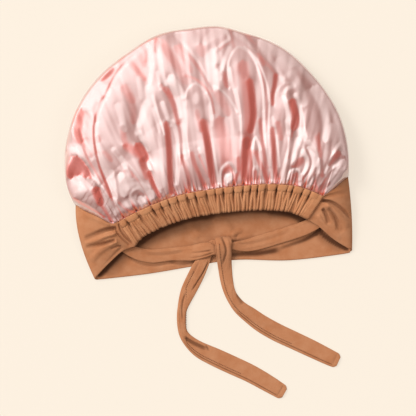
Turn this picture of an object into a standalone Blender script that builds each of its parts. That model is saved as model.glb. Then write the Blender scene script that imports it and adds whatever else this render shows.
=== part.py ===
"""Sleep bonnet: a satin crown gathered to a wide jersey band, with two knotted ties.

The bonnet is empty and lies flat on the plane z = 0 with its back upwards. X runs to its
right and Y from the mouth towards the top of the crown. The tables are in millimetres from
a point under the crown, and new_piece turns them to metres from the bonnet's own middle.
"""

import math
from collections import namedtuple

import bmesh
import bpy
from mathutils import Vector

MM = 0.001
WELD = 0.01  # points closer than this are one
SHARP = math.radians(40.0)  # edges steeper than this are shaded as creases
MIDDLE = Vector((-0.65, -3.03, 0.0))  # of the bonnet without its ties

# Crown: a disc of satin whose rim is gathered to the band. Laid flat it is nearly round.
CROWN_CENTRE = Vector((-2.0, -18.0, 0.0))
CROWN_HEIGHT = 39.0
CROWN_WALL = 1.2
EQUATOR_HEIGHT = 8.0  # where the side of the lying crown is widest
DOME_REACH = 80.0  # from the outline in to the crown's full height
DOME_FULLNESS = 2.2  # 2 is a round side, more is a fuller one
MOUTH_REACH = 46.0  # from the mouth in to the crown's full height
CROWN_CORNER = 14.0  # rounding where the rises from mouth and outline meet
ROLL_REACH = 9.0  # from the outline in to the flat underside
CROWN_ROWS = 12
ROW_CROWDING = 1.25  # more than 1 sets the rows closer by the mouth
ROLL_ROWS = 3
OUTLINE_STEPS = 8  # between two rows of its table
COLUMNS_PER_GATHER = 3

# Folds in the satin, which fade towards the mouth, the outline and their own heads.
FOLD_SAMPLES = 12
FOLD_FOOT_WIDTH, FOLD_HEAD_WIDTH = 0.7, 1.3  # of the width in the table
FOLD_SHARPNESS = 1.6
FOLD_FADE_START, FOLD_FADE = 0.45, 0.8
FOLD_FROM_MOUTH = 14.0
FOLD_FROM_EDGE = 26.0
GATHER_RELIEF = 2.0  # the gathers' height in the satin beside the casing
GATHER_START = 3.0  # and how far from the casing they begin
GATHER_END = 20.0  # and end

# Casing: the elasticated back edge, drawn up into gathers under a row of small puffs.
GATHERS = 24
STEPS_PER_GATHER = 4
PLEATS_PER_GATHER = 2
PLEAT_DEPTH = 2.0
PUFF_DEPTH = 2.2
CASING_STEPS = 6  # lofted steps between two rows of the casing's table

# Band: doubled jersey round the front and sides.
BAND_WALL = 2.0
BAND_STEPS = 3  # lofted steps between two rows of the band's table
BAND_ROWS = 8
BAND_FOLDS = 3  # creases that spread from each gathered end
BAND_FOLD_DEPTH = 3.0
BAND_FOLD_START = 6.0  # how far from the casing they are at their deepest
BAND_FOLD_REACH = 52.0  # and where they end

# Ties: narrow tubes of the same jersey, pressed flat.
TIE_CORNER = 0.45  # roundness of the section's edges, as a share of its thickness
TIE_STEPS = 2  # lofted steps between two rows of a tie's table
STEEP = 0.5  # a step over the surface shorter than this is one that goes straight up

SEAM_GAP = 0.6  # between pieces that are sewn to each other
END_GAP = 1.4  # between the casing's gathered ends and the band
SIDE_GAP = 1.2  # between satin and band where both walls turn down at the side

# Crown's outline: direction from its centre in degrees, and radius.
OutlineRow = namedtuple("OutlineRow", "angle radius")
OUTLINE = (
    (195.5, 137.0),
    (184.0, 141.8),
    (160.0, 143.0),
    (140.0, 141.5),
    (125.0, 139.7),
    (110.0, 141.8),
    (98.0, 140.2),
    (85.0, 142.0),
    (74.0, 140.2),
    (58.0, 142.0),
    (40.0, 140.8),
    (20.0, 142.6),
    (-3.7, 141.4),
)

# Casing, left to right, along its middle surface.
CasingRow = namedtuple("CasingRow", "upper_x upper_y upper_z lower_x lower_y lower_z")
CASING = (
    (-90.0, -71.5, 19.0, -73.5, -96.0, 10.5),
    (-76.5, -64.0, 21.5, -63.0, -85.5, 12.5),
    (-53.0, -53.2, 23.5, -41.7, -75.5, 14.0),
    (-27.4, -44.6, 24.5, -20.0, -68.5, 15.0),
    (2.0, -39.2, 25.0, 6.0, -63.8, 15.5),
    (30.0, -36.0, 25.0, 31.0, -61.2, 15.5),
    (58.0, -34.0, 24.5, 56.0, -60.2, 15.0),
    (84.0, -35.5, 23.0, 76.0, -61.6, 14.0),
    (101.0, -40.4, 21.0, 88.0, -65.0, 12.5),
    (113.5, -46.0, 19.0, 98.0, -69.5, 10.5),
)

# Casing's section: share of the way from upper to lower edge, distance off the middle
# surface, and how much of the row of puffs and of the pleats shows there.
SectionRow = namedtuple("SectionRow", "share off puff pleat")
CASING_SECTION = (
    (0.00, 0.0, 0.4, 0.0),
    (0.05, 1.6, 1.0, 0.0),
    (0.15, 2.2, 1.0, 0.0),
    (0.26, 0.8, 0.3, 0.2),
    (0.34, 1.5, 0.0, 1.0),
    (0.60, 2.0, 0.0, 1.0),
    (0.88, 1.7, 0.0, 1.0),
    (1.00, 0.0, 0.0, 0.6),
    (0.90, -1.7, 0.0, 0.3),
    (0.50, -1.8, 0.0, 0.3),
    (0.12, -1.6, 0.0, 0.0),
)

# Band from the casing's left end round the front to its right end, along its outer face.
BandRow = namedtuple(
    "BandRow", "seam_x seam_y seam_z middle_x middle_y middle_z free_x free_y free_z"
)
BAND = (
    (-97.5, -73.3, 19.5, -92.5, -87.5, 17.0, -86.0, -101.0, 10.0),  # left gathers
    (-111.0, -66.5, 18.0, -109.0, -90.0, 15.0, -99.0, -112.5, 8.0),  # left face
    (-125.0, -60.0, 14.0, -123.5, -90.5, 11.5, -109.5, -123.5, 6.2),
    (-132.8, -55.0, 8.0, -129.0, -89.0, 6.5, -114.0, -128.4, 3.2),  # left fold
    (-130.2, -55.0, 2.0, -126.6, -91.0, 1.5, -112.6, -129.4, 0.8),
    (-122.0, -54.0, 0.0, -118.0, -92.0, 0.0, -107.0, -129.2, 0.0),  # front, lying below
    (-70.0, -49.0, 0.0, -67.0, -87.0, 0.0, -61.0, -123.3, 0.0),
    (-20.0, -44.0, 0.0, -18.0, -81.0, 0.0, -15.0, -115.6, 0.0),
    (25.0, -39.0, 0.0, 25.0, -75.0, 0.0, 26.0, -109.0, 0.0),
    (75.0, -34.0, 0.0, 77.0, -72.0, 0.0, 80.0, -109.8, 0.0),
    (126.0, -29.0, 0.0, 130.0, -66.0, 0.0, 134.0, -104.0, 0.0),
    (136.2, -27.5, 2.0, 139.8, -66.0, 1.5, 141.2, -101.6, 0.8),
    (138.6, -27.0, 8.0, 142.4, -65.0, 6.5, 142.8, -99.5, 3.2),  # right fold
    (132.5, -32.0, 14.0, 138.0, -62.0, 12.0, 137.6, -97.5, 6.2),
    (124.0, -39.0, 18.0, 129.0, -60.0, 16.0, 124.0, -89.0, 8.0),  # right face
    (117.5, -43.8, 19.5, 116.0, -59.0, 17.5, 110.0, -77.0, 10.0),  # right gathers
)
LEFT_FOLD, RIGHT_FOLD = 3, 12  # the table's rows where the band turns under
LEFT_FLOOR, RIGHT_FLOOR = 5, 10  # and where its front lies flat

# Folds in the satin, each a bow through three places. A valley has a negative height.
FoldRow = namedtuple("FoldRow", "foot_x foot_y middle_x middle_y head_x head_y width height")
CROWN_FOLDS = (
    (-92, -58, -114, 12, -66, 98, 7, -6.0),  # crease inside the left edge
    (-84, -58, -102, 14, -50, 102, 10, 4.0),
    (-97, -62, -118, -22, -136, -4, 8, 4.5),  # pocket at the left edge
    (-104, -52, -124, -28, -134, -22, 7, -4.0),
    (-53, -52, -62, -20, -76, 12, 7, -6.0),
    (-42, -50, -54, 10, -53, 98, 9, 5.0),
    (-35, -46, -39, 0, -43, 45, 6, -5.5),
    (-15, -42, -24, 10, -28, 62, 9, 4.5),
    (3, -38, -1, 0, -12, 32, 6, -6.5),
    (10, -38, 5, 15, -10, 60, 6, 4.0),
    (20, -36, 20, 10, 12, 52, 10, 5.0),
    (36, -34, 38, -5, 40, 20, 6, -5.0),
    (48, -34, 46, 20, 42, 90, 9, -9.0),  # great valley
    (32, 0, 22, 50, 34, 98, 7, 4.0),  # and the arch round it
    (62, -34, 60, 20, 42, 100, 7, 6.0),
    (70, -34, 68, 30, 65, 78, 6, -5.0),
    (77, -34, 81, 15, 76, 62, 7, 4.5),
    (86, -35, 88, 15, 84, 58, 6, -5.5),
    (96, -38, 105, -5, 92, 62, 8, 5.0),
    (104, -42, 114, 10, 112, 45, 7, -4.0),
    (109, -45, 122, 5, 120, 52, 8, 4.0),
    (119, -41, 130, -8, 136, 4, 6, 3.0),
)

# Left tie and its tail, along its middle.
TieRow = namedtuple("TieRow", "x y z width thickness")
TIE_LEFT = (
    (-91.0, -94.0, 7.4, 11.0, 2.0),  # sewn in under the band's gathered end
    (-83.0, -98.2, 5.8, 10.0, 2.0),
    (-71.0, -103.5, 4.2, 12.5, 2.0),
    (-56.0, -106.0, 3.4, 13.5, 2.0),
    (-38.0, -104.0, 3.5, 13.0, 2.0),
    (-18.0, -100.0, 4.6, 12.0, 2.4),
    (-7.0, -98.0, 7.1, 9.5, 2.8),
    (1.0, -99.0, 7.4, 7.5, 3.2),  # over the other tie's tail
    (8.0, -101.5, 5.7, 6.8, 3.2),
    (13.5, -100.0, 4.0, 6.8, 3.2),
    (17.0, -95.0, 3.7, 7.0, 2.6),  # behind the other tie
    (17.3, -91.0, 4.0, 8.5, 2.6),
    (17.3, -87.8, 7.3, 11.5, 2.6),  # up and over it
    (17.3, -90.5, 10.6, 13.5, 2.6),
    (17.2, -96.0, 11.0, 14.5, 2.6),
    (17.1, -103.0, 8.8, 14.5, 2.4),
    (17.2, -111.5, 4.4, 14.5, 2.2),
    (17.8, -121.0, 1.5, 13.5, 2.2),
    (19.0, -133.0, 1.1, 12.5, 2.2),
    (22.0, -145.0, 1.4, 11.5, 2.8),
    (30.0, -156.5, 1.3, 13.5, 2.6),
    (40.0, -164.5, 1.0, 16.0, 2.0),
    (52.5, -173.6, 1.0, 17.5, 2.0),
    (68.0, -182.4, 1.0, 18.0, 2.0),
    (84.0, -189.9, 1.0, 17.8, 2.0),
    (102.5, -198.6, 1.0, 17.4, 2.0),
    (121.0, -207.6, 1.0, 16.0, 2.0),
    (129.5, -211.5, 1.0, 14.5, 2.0),
)

# Right tie and its tail.
TIE_RIGHT = (
    (113.5, -69.0, 6.8, 11.0, 2.0),  # sewn in under the band's gathered end
    (104.0, -74.0, 5.8, 13.0, 2.0),
    (90.0, -80.0, 4.4, 14.0, 2.0),
    (68.0, -87.0, 3.4, 14.0, 2.0),
    (47.0, -93.3, 3.6, 13.5, 2.0),
    (34.0, -95.8, 4.8, 11.0, 2.4),
    (25.0, -95.6, 6.8, 8.0, 3.0),
    (17.0, -94.8, 7.3, 6.8, 2.8),  # through the loop of the left tie
    (9.5, -93.4, 6.6, 6.6, 2.8),
    (3.5, -93.2, 4.4, 6.8, 2.8),
    (0.0, -97.0, 3.7, 7.2, 2.6),  # and down behind it
    (-2.5, -104.0, 3.7, 11.0, 2.4),
    (-8.5, -116.0, 3.9, 15.0, 2.2),
    (-14.0, -127.5, 1.7, 16.0, 2.0),
    (-21.0, -142.0, 1.1, 15.0, 2.2),
    (-26.5, -158.0, 1.6, 10.0, 3.2),
    (-27.6, -170.0, 1.7, 9.0, 3.4),
    (-26.0, -182.0, 1.7, 9.0, 3.4),
    (-20.0, -191.0, 1.4, 12.0, 2.8),
    (-9.5, -199.5, 1.1, 16.0, 2.2),
    (4.0, -206.2, 1.0, 18.0, 2.0),
    (22.0, -214.5, 1.0, 18.5, 2.0),
    (41.0, -223.3, 1.0, 18.0, 2.0),
    (58.0, -232.8, 1.0, 17.2, 2.0),
    (71.0, -240.6, 1.0, 15.5, 2.0),
    (75.5, -243.2, 1.0, 14.5, 2.0),
)

# Finishes, none of them metallic.
Finish = namedtuple("Finish", "name colour roughness")
CROWN_SATIN = Finish("crown_satin", (0.80, 0.49, 0.46, 1.0), 0.25)
CASING_JERSEY = Finish("casing_jersey", (0.54, 0.27, 0.14, 1.0), 0.90)
BAND_JERSEY = Finish("band_jersey", (0.50, 0.24, 0.12, 1.0), 0.90)
TIE_JERSEY = Finish("tie_jersey", (0.52, 0.25, 0.12, 1.0), 0.90)


def catmull_rom(rows, steps):
    """The table's rows with steps - 1 smooth rows put between each two."""
    last = len(rows) - 1
    out = []
    for i in range(last):
        before, start = rows[max(i - 1, 0)], rows[i]
        end, after = rows[i + 1], rows[min(i + 2, last)]
        for k in range(steps):
            t = k / steps
            out.append(
                tuple(
                    0.5
                    * (
                        2 * b
                        + (c - a) * t
                        + (2 * a - 5 * b + 4 * c - d) * t**2
                        + (3 * b - a - 3 * c + d) * t**3
                    )
                    for a, b, c, d in zip(before, start, end, after)
                )
            )
    out.append(tuple(rows[last]))
    return out


def spread_evenly(points, count):
    """count + 1 points at equal steps along a line of points."""
    run = [0.0]
    for a, b in zip(points, points[1:]):
        run.append(run[-1] + (b - a).length)
    out = []
    k = 0
    for i in range(count + 1):
        want = run[-1] * i / count
        while k < len(points) - 2 and run[k + 1] < want:
            k += 1
        share = (want - run[k]) / max(run[k + 1] - run[k], 1e-9)
        out.append(points[k].lerp(points[k + 1], min(share, 1.0)))
    return out


def smooth_step(t):
    t = min(max(t, 0.0), 1.0)
    return t * t * (3 - 2 * t)


def new_material(finish):
    material = bpy.data.materials.new(finish.name)
    material.use_nodes = True
    shader = material.node_tree.nodes["Principled BSDF"]
    shader.inputs["Base Color"].default_value = finish.colour
    shader.inputs["Roughness"].default_value = finish.roughness
    shader.inputs["Metallic"].default_value = 0.0
    material.diffuse_color = finish.colour
    return material


def new_piece(name, points, faces, finish, collection):
    """A smooth mesh object from points in millimetres."""
    mesh = bpy.data.meshes.new(name)
    mesh.from_pydata([(point - MIDDLE) * MM for point in points], [], faces)
    bm = bmesh.new()
    bm.from_mesh(mesh)
    bmesh.ops.remove_doubles(bm, verts=bm.verts, dist=WELD * MM)
    bm.to_mesh(mesh)
    bm.free()
    mesh.shade_smooth()
    mesh.set_sharp_from_angle(angle=SHARP)
    mesh.materials.append(new_material(finish))
    piece = bpy.data.objects.new(name, mesh)
    collection.objects.link(piece)
    return piece


def give_wall(piece, wall):
    """Thickens an outer face towards the hollow."""
    solidify = piece.modifiers.new("wall", "SOLIDIFY")
    solidify.thickness = wall * MM
    solidify.offset = -1.0


def grid_faces(rows, columns):
    """Quads of a grid whose points are numbered row by row. They face up where a row's
    points run to +X and the rows to +Y."""
    faces = []
    for r in range(rows - 1):
        for c in range(columns - 1):
            here, beyond = r * columns + c, (r + 1) * columns + c
            faces.append((here, here + 1, beyond + 1, beyond))
    return faces


def tube_faces(rings, sides):
    """Faces round a closed tube of rings, and one over each of its ends."""
    faces = []
    for i in range(rings - 1):
        for k in range(sides):
            here, beside = i * sides + k, i * sides + (k + 1) % sides
            faces.append((here, beside, beside + sides, here + sides))
    faces.append(tuple(reversed(range(sides))))
    faces.append(tuple((rings - 1) * sides + k for k in range(sides)))
    return faces


# Casing --------------------------------------------------------------------------------


def casing_sections():
    """The casing's upper and lower edge points at each step along it."""
    rows = [CasingRow(*row) for row in catmull_rom(CASING, CASING_STEPS)]
    steps = GATHERS * STEPS_PER_GATHER
    upper = [Vector((row.upper_x, row.upper_y, row.upper_z)) for row in rows]
    lower = [Vector((row.lower_x, row.lower_y, row.lower_z)) for row in rows]
    return spread_evenly(upper, steps), spread_evenly(lower, steps)


def back_casing(collection):
    upper, lower = casing_sections()
    points = []
    for i, (top, bottom) in enumerate(zip(upper, lower)):
        ahead = upper[min(i + 1, len(upper) - 1)] - upper[max(i - 1, 0)]
        across = bottom - top
        out = ahead.cross(across).normalized() * -1.0
        turn = 2 * math.pi * i / STEPS_PER_GATHER
        pinch = PUFF_DEPTH * (1 + math.cos(turn)) / 2  # between two puffs
        rib = -PLEAT_DEPTH * math.cos(PLEATS_PER_GATHER * turn) / 2
        for row in CASING_SECTION:
            row = SectionRow(*row)
            off = row.off - pinch * row.puff + rib * row.pleat
            points.append(top + across * row.share + out * off)
    faces = tube_faces(len(upper), len(CASING_SECTION))
    return new_piece("back_casing", points, faces, CASING_JERSEY, collection)


# Band ----------------------------------------------------------------------------------


def seam_row(end, beyond):
    """The band's row that is sewn to an end of the casing."""
    top, bottom = Vector(end[:3]), Vector(end[3:])
    shift = (top - Vector(beyond[:3])).normalized() * END_GAP
    shift.z += BAND_WALL / 2
    return (*(top + shift), *((top + bottom) / 2 + shift), *(bottom + shift))


def band_rows():
    """The band's lofted rows, each with its seam edge, middle and free edge."""
    table = [seam_row(CASING[0], CASING[1]), *BAND, seam_row(CASING[-1], CASING[-2])]
    rows = []
    for row in catmull_rom(table, BAND_STEPS):
        row = BandRow(*row)
        seam = Vector((row.seam_x, row.seam_y, max(row.seam_z, 0.0)))
        middle = Vector((row.middle_x, row.middle_y, max(row.middle_z, 0.0)))
        free = Vector((row.free_x, row.free_y, max(row.free_z, 0.0)))
        rows.append((seam, middle, free))
    return rows


def bow(start, middle, end, t):
    """A place t of the way along the parabola through three places."""
    return start * (1 - t) * (1 - 2 * t) + middle * 4 * t * (1 - t) + end * t * (2 * t - 1)


def front_band(collection):
    rows = band_rows()
    along = [0.0]
    for before, after in zip(rows, rows[1:]):
        along.append(along[-1] + (after[1] - before[1]).length)
    points = []
    for here, (seam, middle, free) in zip(along, rows):
        from_end = min(here, along[-1] - here)
        fade = smooth_step(from_end / BAND_FOLD_START)
        fade *= 1 - smooth_step(from_end / BAND_FOLD_REACH)
        for k in range(BAND_ROWS + 1):
            v = k / BAND_ROWS
            point = bow(seam, middle, free, v)
            crease = math.sin(math.pi * BAND_FOLDS * v) ** 2 * math.sin(math.pi * v)
            point.z = max(point.z - BAND_FOLD_DEPTH * crease * fade, 0.0)
            points.append(point)
    faces = [face[::-1] for face in grid_faces(len(rows), BAND_ROWS + 1)]
    piece = new_piece("front_band", points, faces, BAND_JERSEY, collection)
    give_wall(piece, BAND_WALL)
    return piece


# Crown ---------------------------------------------------------------------------------


def crown_outline(columns):
    """The crown's outline at its widest, from the left seam round to the right one."""
    rows = [OutlineRow(*row) for row in catmull_rom(OUTLINE, OUTLINE_STEPS)]
    points = []
    for row in rows:
        turn = math.radians(row.angle)
        across, along = row.radius * math.cos(turn), row.radius * math.sin(turn)
        points.append(CROWN_CENTRE + Vector((across, along, EQUATOR_HEIGHT)))
    return spread_evenly(points, columns - 1)


def table_row(row):
    """Where a row of the band's table lies among the band's lofted rows."""
    return (row + 1) * BAND_STEPS


def sewn_to_band(rows, gap):
    """The crown's edge along some rows of the band: the band's seam edge and the gap."""
    return [seam + (seam - middle).normalized() * gap for seam, middle, _ in rows]


def mouth_line():
    """The crown's upper mouth edge: left fold to casing, along it, and to the right fold."""
    rows = band_rows()
    edge = []
    for top, bottom in zip(*casing_sections()):
        edge.append(top + (top - bottom).normalized() * SEAM_GAP)
    casing = spread_evenly(edge, GATHERS * COLUMNS_PER_GATHER)
    left_side = sewn_to_band(rows[1 : table_row(LEFT_FOLD) + 1], SIDE_GAP)
    right_side = sewn_to_band(rows[table_row(RIGHT_FOLD) : -1], SIDE_GAP)
    return left_side[::-1], casing, right_side


def fold_relief(place, folds):
    """How far the folds raise or lower the satin at a place. Each fold is its row of the
    table and the places along its bow."""
    relief = 0.0
    for row, bow_places in folds:
        away, k = min(((spot - place).length, k) for k, spot in enumerate(bow_places))
        share = k / FOLD_SAMPLES
        spread = row.width * (FOLD_FOOT_WIDTH + (FOLD_HEAD_WIDTH - FOLD_FOOT_WIDTH) * share)
        fade = smooth_step((share - FOLD_FADE_START) / (1 - FOLD_FADE_START))
        bell = math.exp(-FOLD_SHARPNESS * (away / spread) ** 2)
        relief += row.height * bell * (1 - FOLD_FADE * fade)
    return relief


def crown_folds():
    folds = []
    for row in CROWN_FOLDS:
        row = FoldRow(*row)
        foot = Vector((row.foot_x, row.foot_y))
        middle = Vector((row.middle_x, row.middle_y))
        head = Vector((row.head_x, row.head_y))
        shares = [k / FOLD_SAMPLES for k in range(FOLD_SAMPLES + 1)]
        folds.append((row, [bow(foot, middle, head, share) for share in shares]))
    return folds


def crown_point(mouth, edge, t, gather, folds):
    """A point of the crown's upper face, t of the way from the mouth to the outline."""
    point = mouth.lerp(edge, t)
    from_mouth = (point - mouth).xy.length
    from_edge = (edge - point).xy.length
    rise = min(from_mouth / MOUTH_REACH, 1.0)
    dome = min(from_edge / DOME_REACH, 1.0)
    near_mouth = mouth.z + (CROWN_HEIGHT - mouth.z) * math.sqrt(1 - (1 - rise) ** 2)
    bulge = (1 - (1 - dome) ** DOME_FULLNESS) ** (1 / DOME_FULLNESS)
    near_edge = edge.z + (CROWN_HEIGHT - edge.z) * bulge
    corner = CROWN_CORNER * min(rise, dome)  # rounds the corner between the two slopes
    point.z = (near_mouth + near_edge - math.hypot(near_mouth - near_edge, corner)) / 2
    fade = smooth_step(from_mouth / FOLD_FROM_MOUTH) * smooth_step(from_edge / FOLD_FROM_EDGE)
    point.z += fold_relief(point.xy, folds) * fade
    fade = smooth_step(from_mouth / GATHER_START) * (1 - smooth_step(from_mouth / GATHER_END))
    point.z += GATHER_RELIEF * gather * fade
    return point


def rolled_under(edge, share):
    """The crown's outline drawn in and down to the floor, as a quarter of an ellipse."""
    turn = math.pi / 2 * share
    inward = (CROWN_CENTRE - edge).xy.normalized() * ROLL_REACH * (1 - math.cos(turn))
    return Vector((edge.x + inward.x, edge.y + inward.y, edge.z * (1 - math.sin(turn))))


def satin_crown(collection):
    left_side, casing, right_side = mouth_line()
    mouth = left_side + casing + right_side
    columns = len(mouth)
    edge = crown_outline(columns)
    edge[0], edge[-1] = mouth[0], mouth[-1]
    folds = crown_folds()
    points = []
    for r in range(CROWN_ROWS + 1):
        t = (r / CROWN_ROWS) ** ROW_CROWDING
        for c in range(columns):
            gather = -math.cos(2 * math.pi * (c - len(left_side)) / COLUMNS_PER_GATHER)
            points.append(crown_point(mouth[c], edge[c], t, gather, folds))
    # The ends of the roll follow the band's seam from its fold down to the floor.
    rows = band_rows()
    left = rows[table_row(LEFT_FOLD) : table_row(LEFT_FLOOR) + 1]
    right = rows[table_row(RIGHT_FLOOR) : table_row(RIGHT_FOLD) + 1]
    left = spread_evenly(sewn_to_band(left, SIDE_GAP), ROLL_ROWS)
    right = spread_evenly(sewn_to_band(right, SIDE_GAP)[::-1], ROLL_ROWS)
    for r in range(1, ROLL_ROWS + 1):
        points.append(left[r])
        points.extend(rolled_under(place, r / ROLL_ROWS) for place in edge[1:-1])
        points.append(right[r])
    # The underside is one flat face between the roll and the front band's seam.
    rings = CROWN_ROWS + ROLL_ROWS + 1
    faces = grid_faces(rings, columns)
    front = sewn_to_band(rows[table_row(LEFT_FLOOR) + 1 : table_row(RIGHT_FLOOR)], SEAM_GAP)
    underside = list(range((rings - 1) * columns, rings * columns))
    underside += reversed(range(len(points), len(points) + len(front)))
    points.extend(front)
    faces.append(tuple(underside))
    piece = new_piece("satin_crown", points, faces, CROWN_SATIN, collection)
    give_wall(piece, CROWN_WALL)
    return piece


# Ties ----------------------------------------------------------------------------------


def tie_section(width, thick):
    """Half round edges and flat faces, as (across, up) pairs."""
    half, up = width / 2, thick / 2
    inset = thick * TIE_CORNER
    return (
        (-half, 0.0),
        (-half + inset, up),
        (0.0, up),
        (half - inset, up),
        (half, 0.0),
        (half - inset, -up),
        (0.0, -up),
        (-half + inset, -up),
    )


def tie(name, table, collection):
    """A strap that stays level across its width and turns over where its path does."""
    rows = [TieRow(*row) for row in catmull_rom(table, TIE_STEPS)]
    path = [Vector((row.x, row.y, row.z)) for row in rows]
    points = []
    across = None
    for i, row in enumerate(rows):
        ahead = path[min(i + 1, len(path) - 1)] - path[max(i - 1, 0)]
        level = Vector((ahead.y, -ahead.x, 0.0))
        if across is None:
            across = level.normalized()
        elif level.length > STEEP:
            across = level.normalized() * math.copysign(1.0, across.dot(level))
        up = across.cross(ahead).normalized()
        section = tie_section(row.width, row.thickness)
        for side, lift in section:
            point = path[i] + across * side + up * lift
            point.z = max(point.z, 0.0)
            points.append(point)
    faces = tube_faces(len(rows), len(section))
    return new_piece(name, points, faces, TIE_JERSEY, collection)


def main():
    for obj in list(bpy.data.objects):
        bpy.data.objects.remove(obj)
    collection = bpy.data.collections.new("sleep_bonnet")
    bpy.context.scene.collection.children.link(collection)
    satin_crown(collection)
    back_casing(collection)
    front_band(collection)
    tie("tie_left", TIE_LEFT, collection)
    tie("tie_right", TIE_RIGHT, collection)


main()
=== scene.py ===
"""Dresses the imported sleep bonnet: satin crown, gathered casing, jersey band, knotted ties.

The bonnet lies flat on z = 0 with its nape side up. Tables are in millimetres, in one of
two frames: the pattern frame, whose X runs right and Y towards the crown's top from a point
under the crown, and the view frame, across and down from the top left corner of what the
camera sees. to_pattern turns the second into the first, and to_metres the first into the
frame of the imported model, in metres.
"""

import math

import bpy
import numpy as np
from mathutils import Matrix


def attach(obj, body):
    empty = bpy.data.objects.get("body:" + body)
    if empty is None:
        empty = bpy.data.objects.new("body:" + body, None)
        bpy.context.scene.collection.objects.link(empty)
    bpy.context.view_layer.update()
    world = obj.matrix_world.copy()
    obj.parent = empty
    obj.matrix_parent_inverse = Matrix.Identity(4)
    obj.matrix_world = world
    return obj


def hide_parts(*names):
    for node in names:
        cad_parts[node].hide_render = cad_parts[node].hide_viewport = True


bl_info = {
    "name": "Sleep bonnet",
    "version": (1, 0, 0),
    "blender": (4, 5, 0),
    "location": "3D View > Sidebar > Bonnet",
    "description": "Models a satin sleep bonnet that lies flat with its ties knotted",
    "category": "Object",
}

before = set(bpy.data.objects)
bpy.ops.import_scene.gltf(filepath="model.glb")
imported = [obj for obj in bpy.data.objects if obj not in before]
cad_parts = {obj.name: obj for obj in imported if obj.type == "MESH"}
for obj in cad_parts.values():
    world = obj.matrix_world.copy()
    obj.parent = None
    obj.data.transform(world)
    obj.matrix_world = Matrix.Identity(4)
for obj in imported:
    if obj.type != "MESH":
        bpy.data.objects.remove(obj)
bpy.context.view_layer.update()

MM = 0.001
BODY = "root"
MERGE_DISTANCE = 0.000002  # metres
MIDDLE = np.array((-0.65, -3.03, 0.0))  # pattern frame's place of the model's origin
VIEW_CORNER = np.array((-209.0, 150.0))  # pattern frame's place of the view's top left
VIEW_SIZE = 416.0
RANDOM_SEED = 7

# Crown -----------------------------------------------------------------------------------
CROWN_CENTRE = np.array((-2.0, -18.0, 0.0))
CROWN_HEIGHT = 36.5
EQUATOR_HEIGHT = 7.0  # where the side of the lying crown is widest
DOME_REACH = 80.0  # from the outline in to the crown's full height
DOME_FULLNESS = 2.0  # power of the slope from the rim up
RIM_RISE = 12.0  # the steep turn at the outline
RIM_REACH = 3.0
MOUTH_REACH = 50.0  # from the mouth in to the crown's full height
MOUTH_FULLNESS = 1.4
CROWN_CORNER = 14.0  # rounding where the rises from mouth and outline meet
ROLL_REACH = 4.0  # from the outline in to the flat underside
CROWN_COLUMNS = 460
CROWN_ROWS = 165
ROW_CROWDING = 1.25  # more than 1 sets the rows closer by the mouth
ROLL_ROWS = 10
UNDER_ROWS = 10
OUTLINE_STEPS = 12  # between two rows of the outline's table
MOUTH_STEPS = 240  # of the mouth's line along the casing
MOUTH_SKIP = 8  # every so many of the mouth's points are enough to find the dome's height
SIDE_COLUMNS = 0.8  # of the columns that their length would give the mouth's two sides
LEAST_COLUMNS = 8
SATIN_WALL = 0.7
TUCK = 0.8  # how far the satin goes in under the puffs, and down
INNER_SHARE = 0.12  # of the inner wall's faces are kept
# Random creases: half their length in rows and half their width in columns, and height.
WRINKLES = ((16.0, 1.6, 0.08), (24.0, 3.4, 0.26), (12.0, 8.0, 0.4))
WRINKLE_ROOM = 110.0  # where the upper face is shorter than this, they are lower

# Gathers of the satin along the casing.
GATHER_SPAN = (110.0, 324.0)  # from where to where across the view
GATHER_FADE = 4.0  # over which they grow at both ends
GATHER_WIDTH = 4.2  # of a fine gather
GATHER_DRIFT = ((1.9, 5.0, 0.0), (1.3, 2.9, 1.0))  # uneven by waves: turn, length and start
GATHER_SHADE = 1.3  # depth at which a gather's painted shade is darkest
FINE_GATHER = 0.8  # height of the fine ones
FINE_REACH = 6.0  # from the seam to where they have almost died
FINER_WIDTH = 0.53  # of the finest ones, to the fine ones
FINER_DRIFT = 1.4
FINER_HEIGHT = 0.45
FINER_REACH = 3.0
PUFF_GATHER = 2.6  # height of those behind the puffs
PUFF_REACH = 7.0
PUFF_LEVEL = 0.55  # share of that height which lies lower than the seam
SEAM_FLAT = 1.5  # over which all of them rise from the seam
SEAM_START = 0.15  # share of their height that they have in it

# Folds, and the relief that is worked out from their chart.
FOLD_STEPS = 6  # between two places of a fold's line
FOLD_POWER = 3.2  # of the bell across it: 2 is round, more is flatter on top
FOLD_REACH = 3.2  # widths from its line, past which nothing is left of it
FOOT_WIDTH = 0.85  # share of its width that it has at its foot
WIDTH_GAIN = 0.3  # and that it gains up to its head
NARROW_FOLD = 2.3  # up to this width a fold has round ends
FOLD_END = 1.3  # widths over which a wider one narrows at each end
BLUNT_TIP = 0.03  # keeps its tip from narrowing to nothing
FOLD_FADE_MOUTH = 6.0  # over which the folds grow from the mouth
FOLD_FADE_EDGE = 4.0  # and die at the outline
LIGHT_TURN = 30.0  # degrees that the light stands above the view's left
SLOPE_UNIT = 0.2  # slope for each step of the chart that faces the light
SHADE_UNIT = 0.15  # and that turns away
SLOPE_LOW = 1.2  # steepest slope away from the light
SLOPE_HIGH = 0.55  # and towards it
CHART_START = 0.12  # where the chart has less slope than this, the dome stays as it is
DOME_RADIUS = 141.0  # the outline as a circle, to find the dome's own slope
DOME_STEEP = 0.5  # the most of that slope that the folds make up for
RELIEF_STEP = 0.6  # of the grid that the relief is worked out on
RELIEF_MARGIN = 30.0  # and how far the grid goes past the crown
SIDE_STIFFNESS = 0.4  # how much a slope across the light counts, against one along it
DRIFT_LENGTH = 16.0  # swells longer than this flatten out
FOLD_SOFTNESS = 0.25  # how far the relief is blurred
FOLD_SHADE = 0.7  # share of painted shade where a fold turns away from the light
SHADE_SLOPE = 1.1  # slope at which it has all of that share
SHADE_CURVE = 0.7  # power of its rise: less than 1 darkens gentle slopes too

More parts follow.
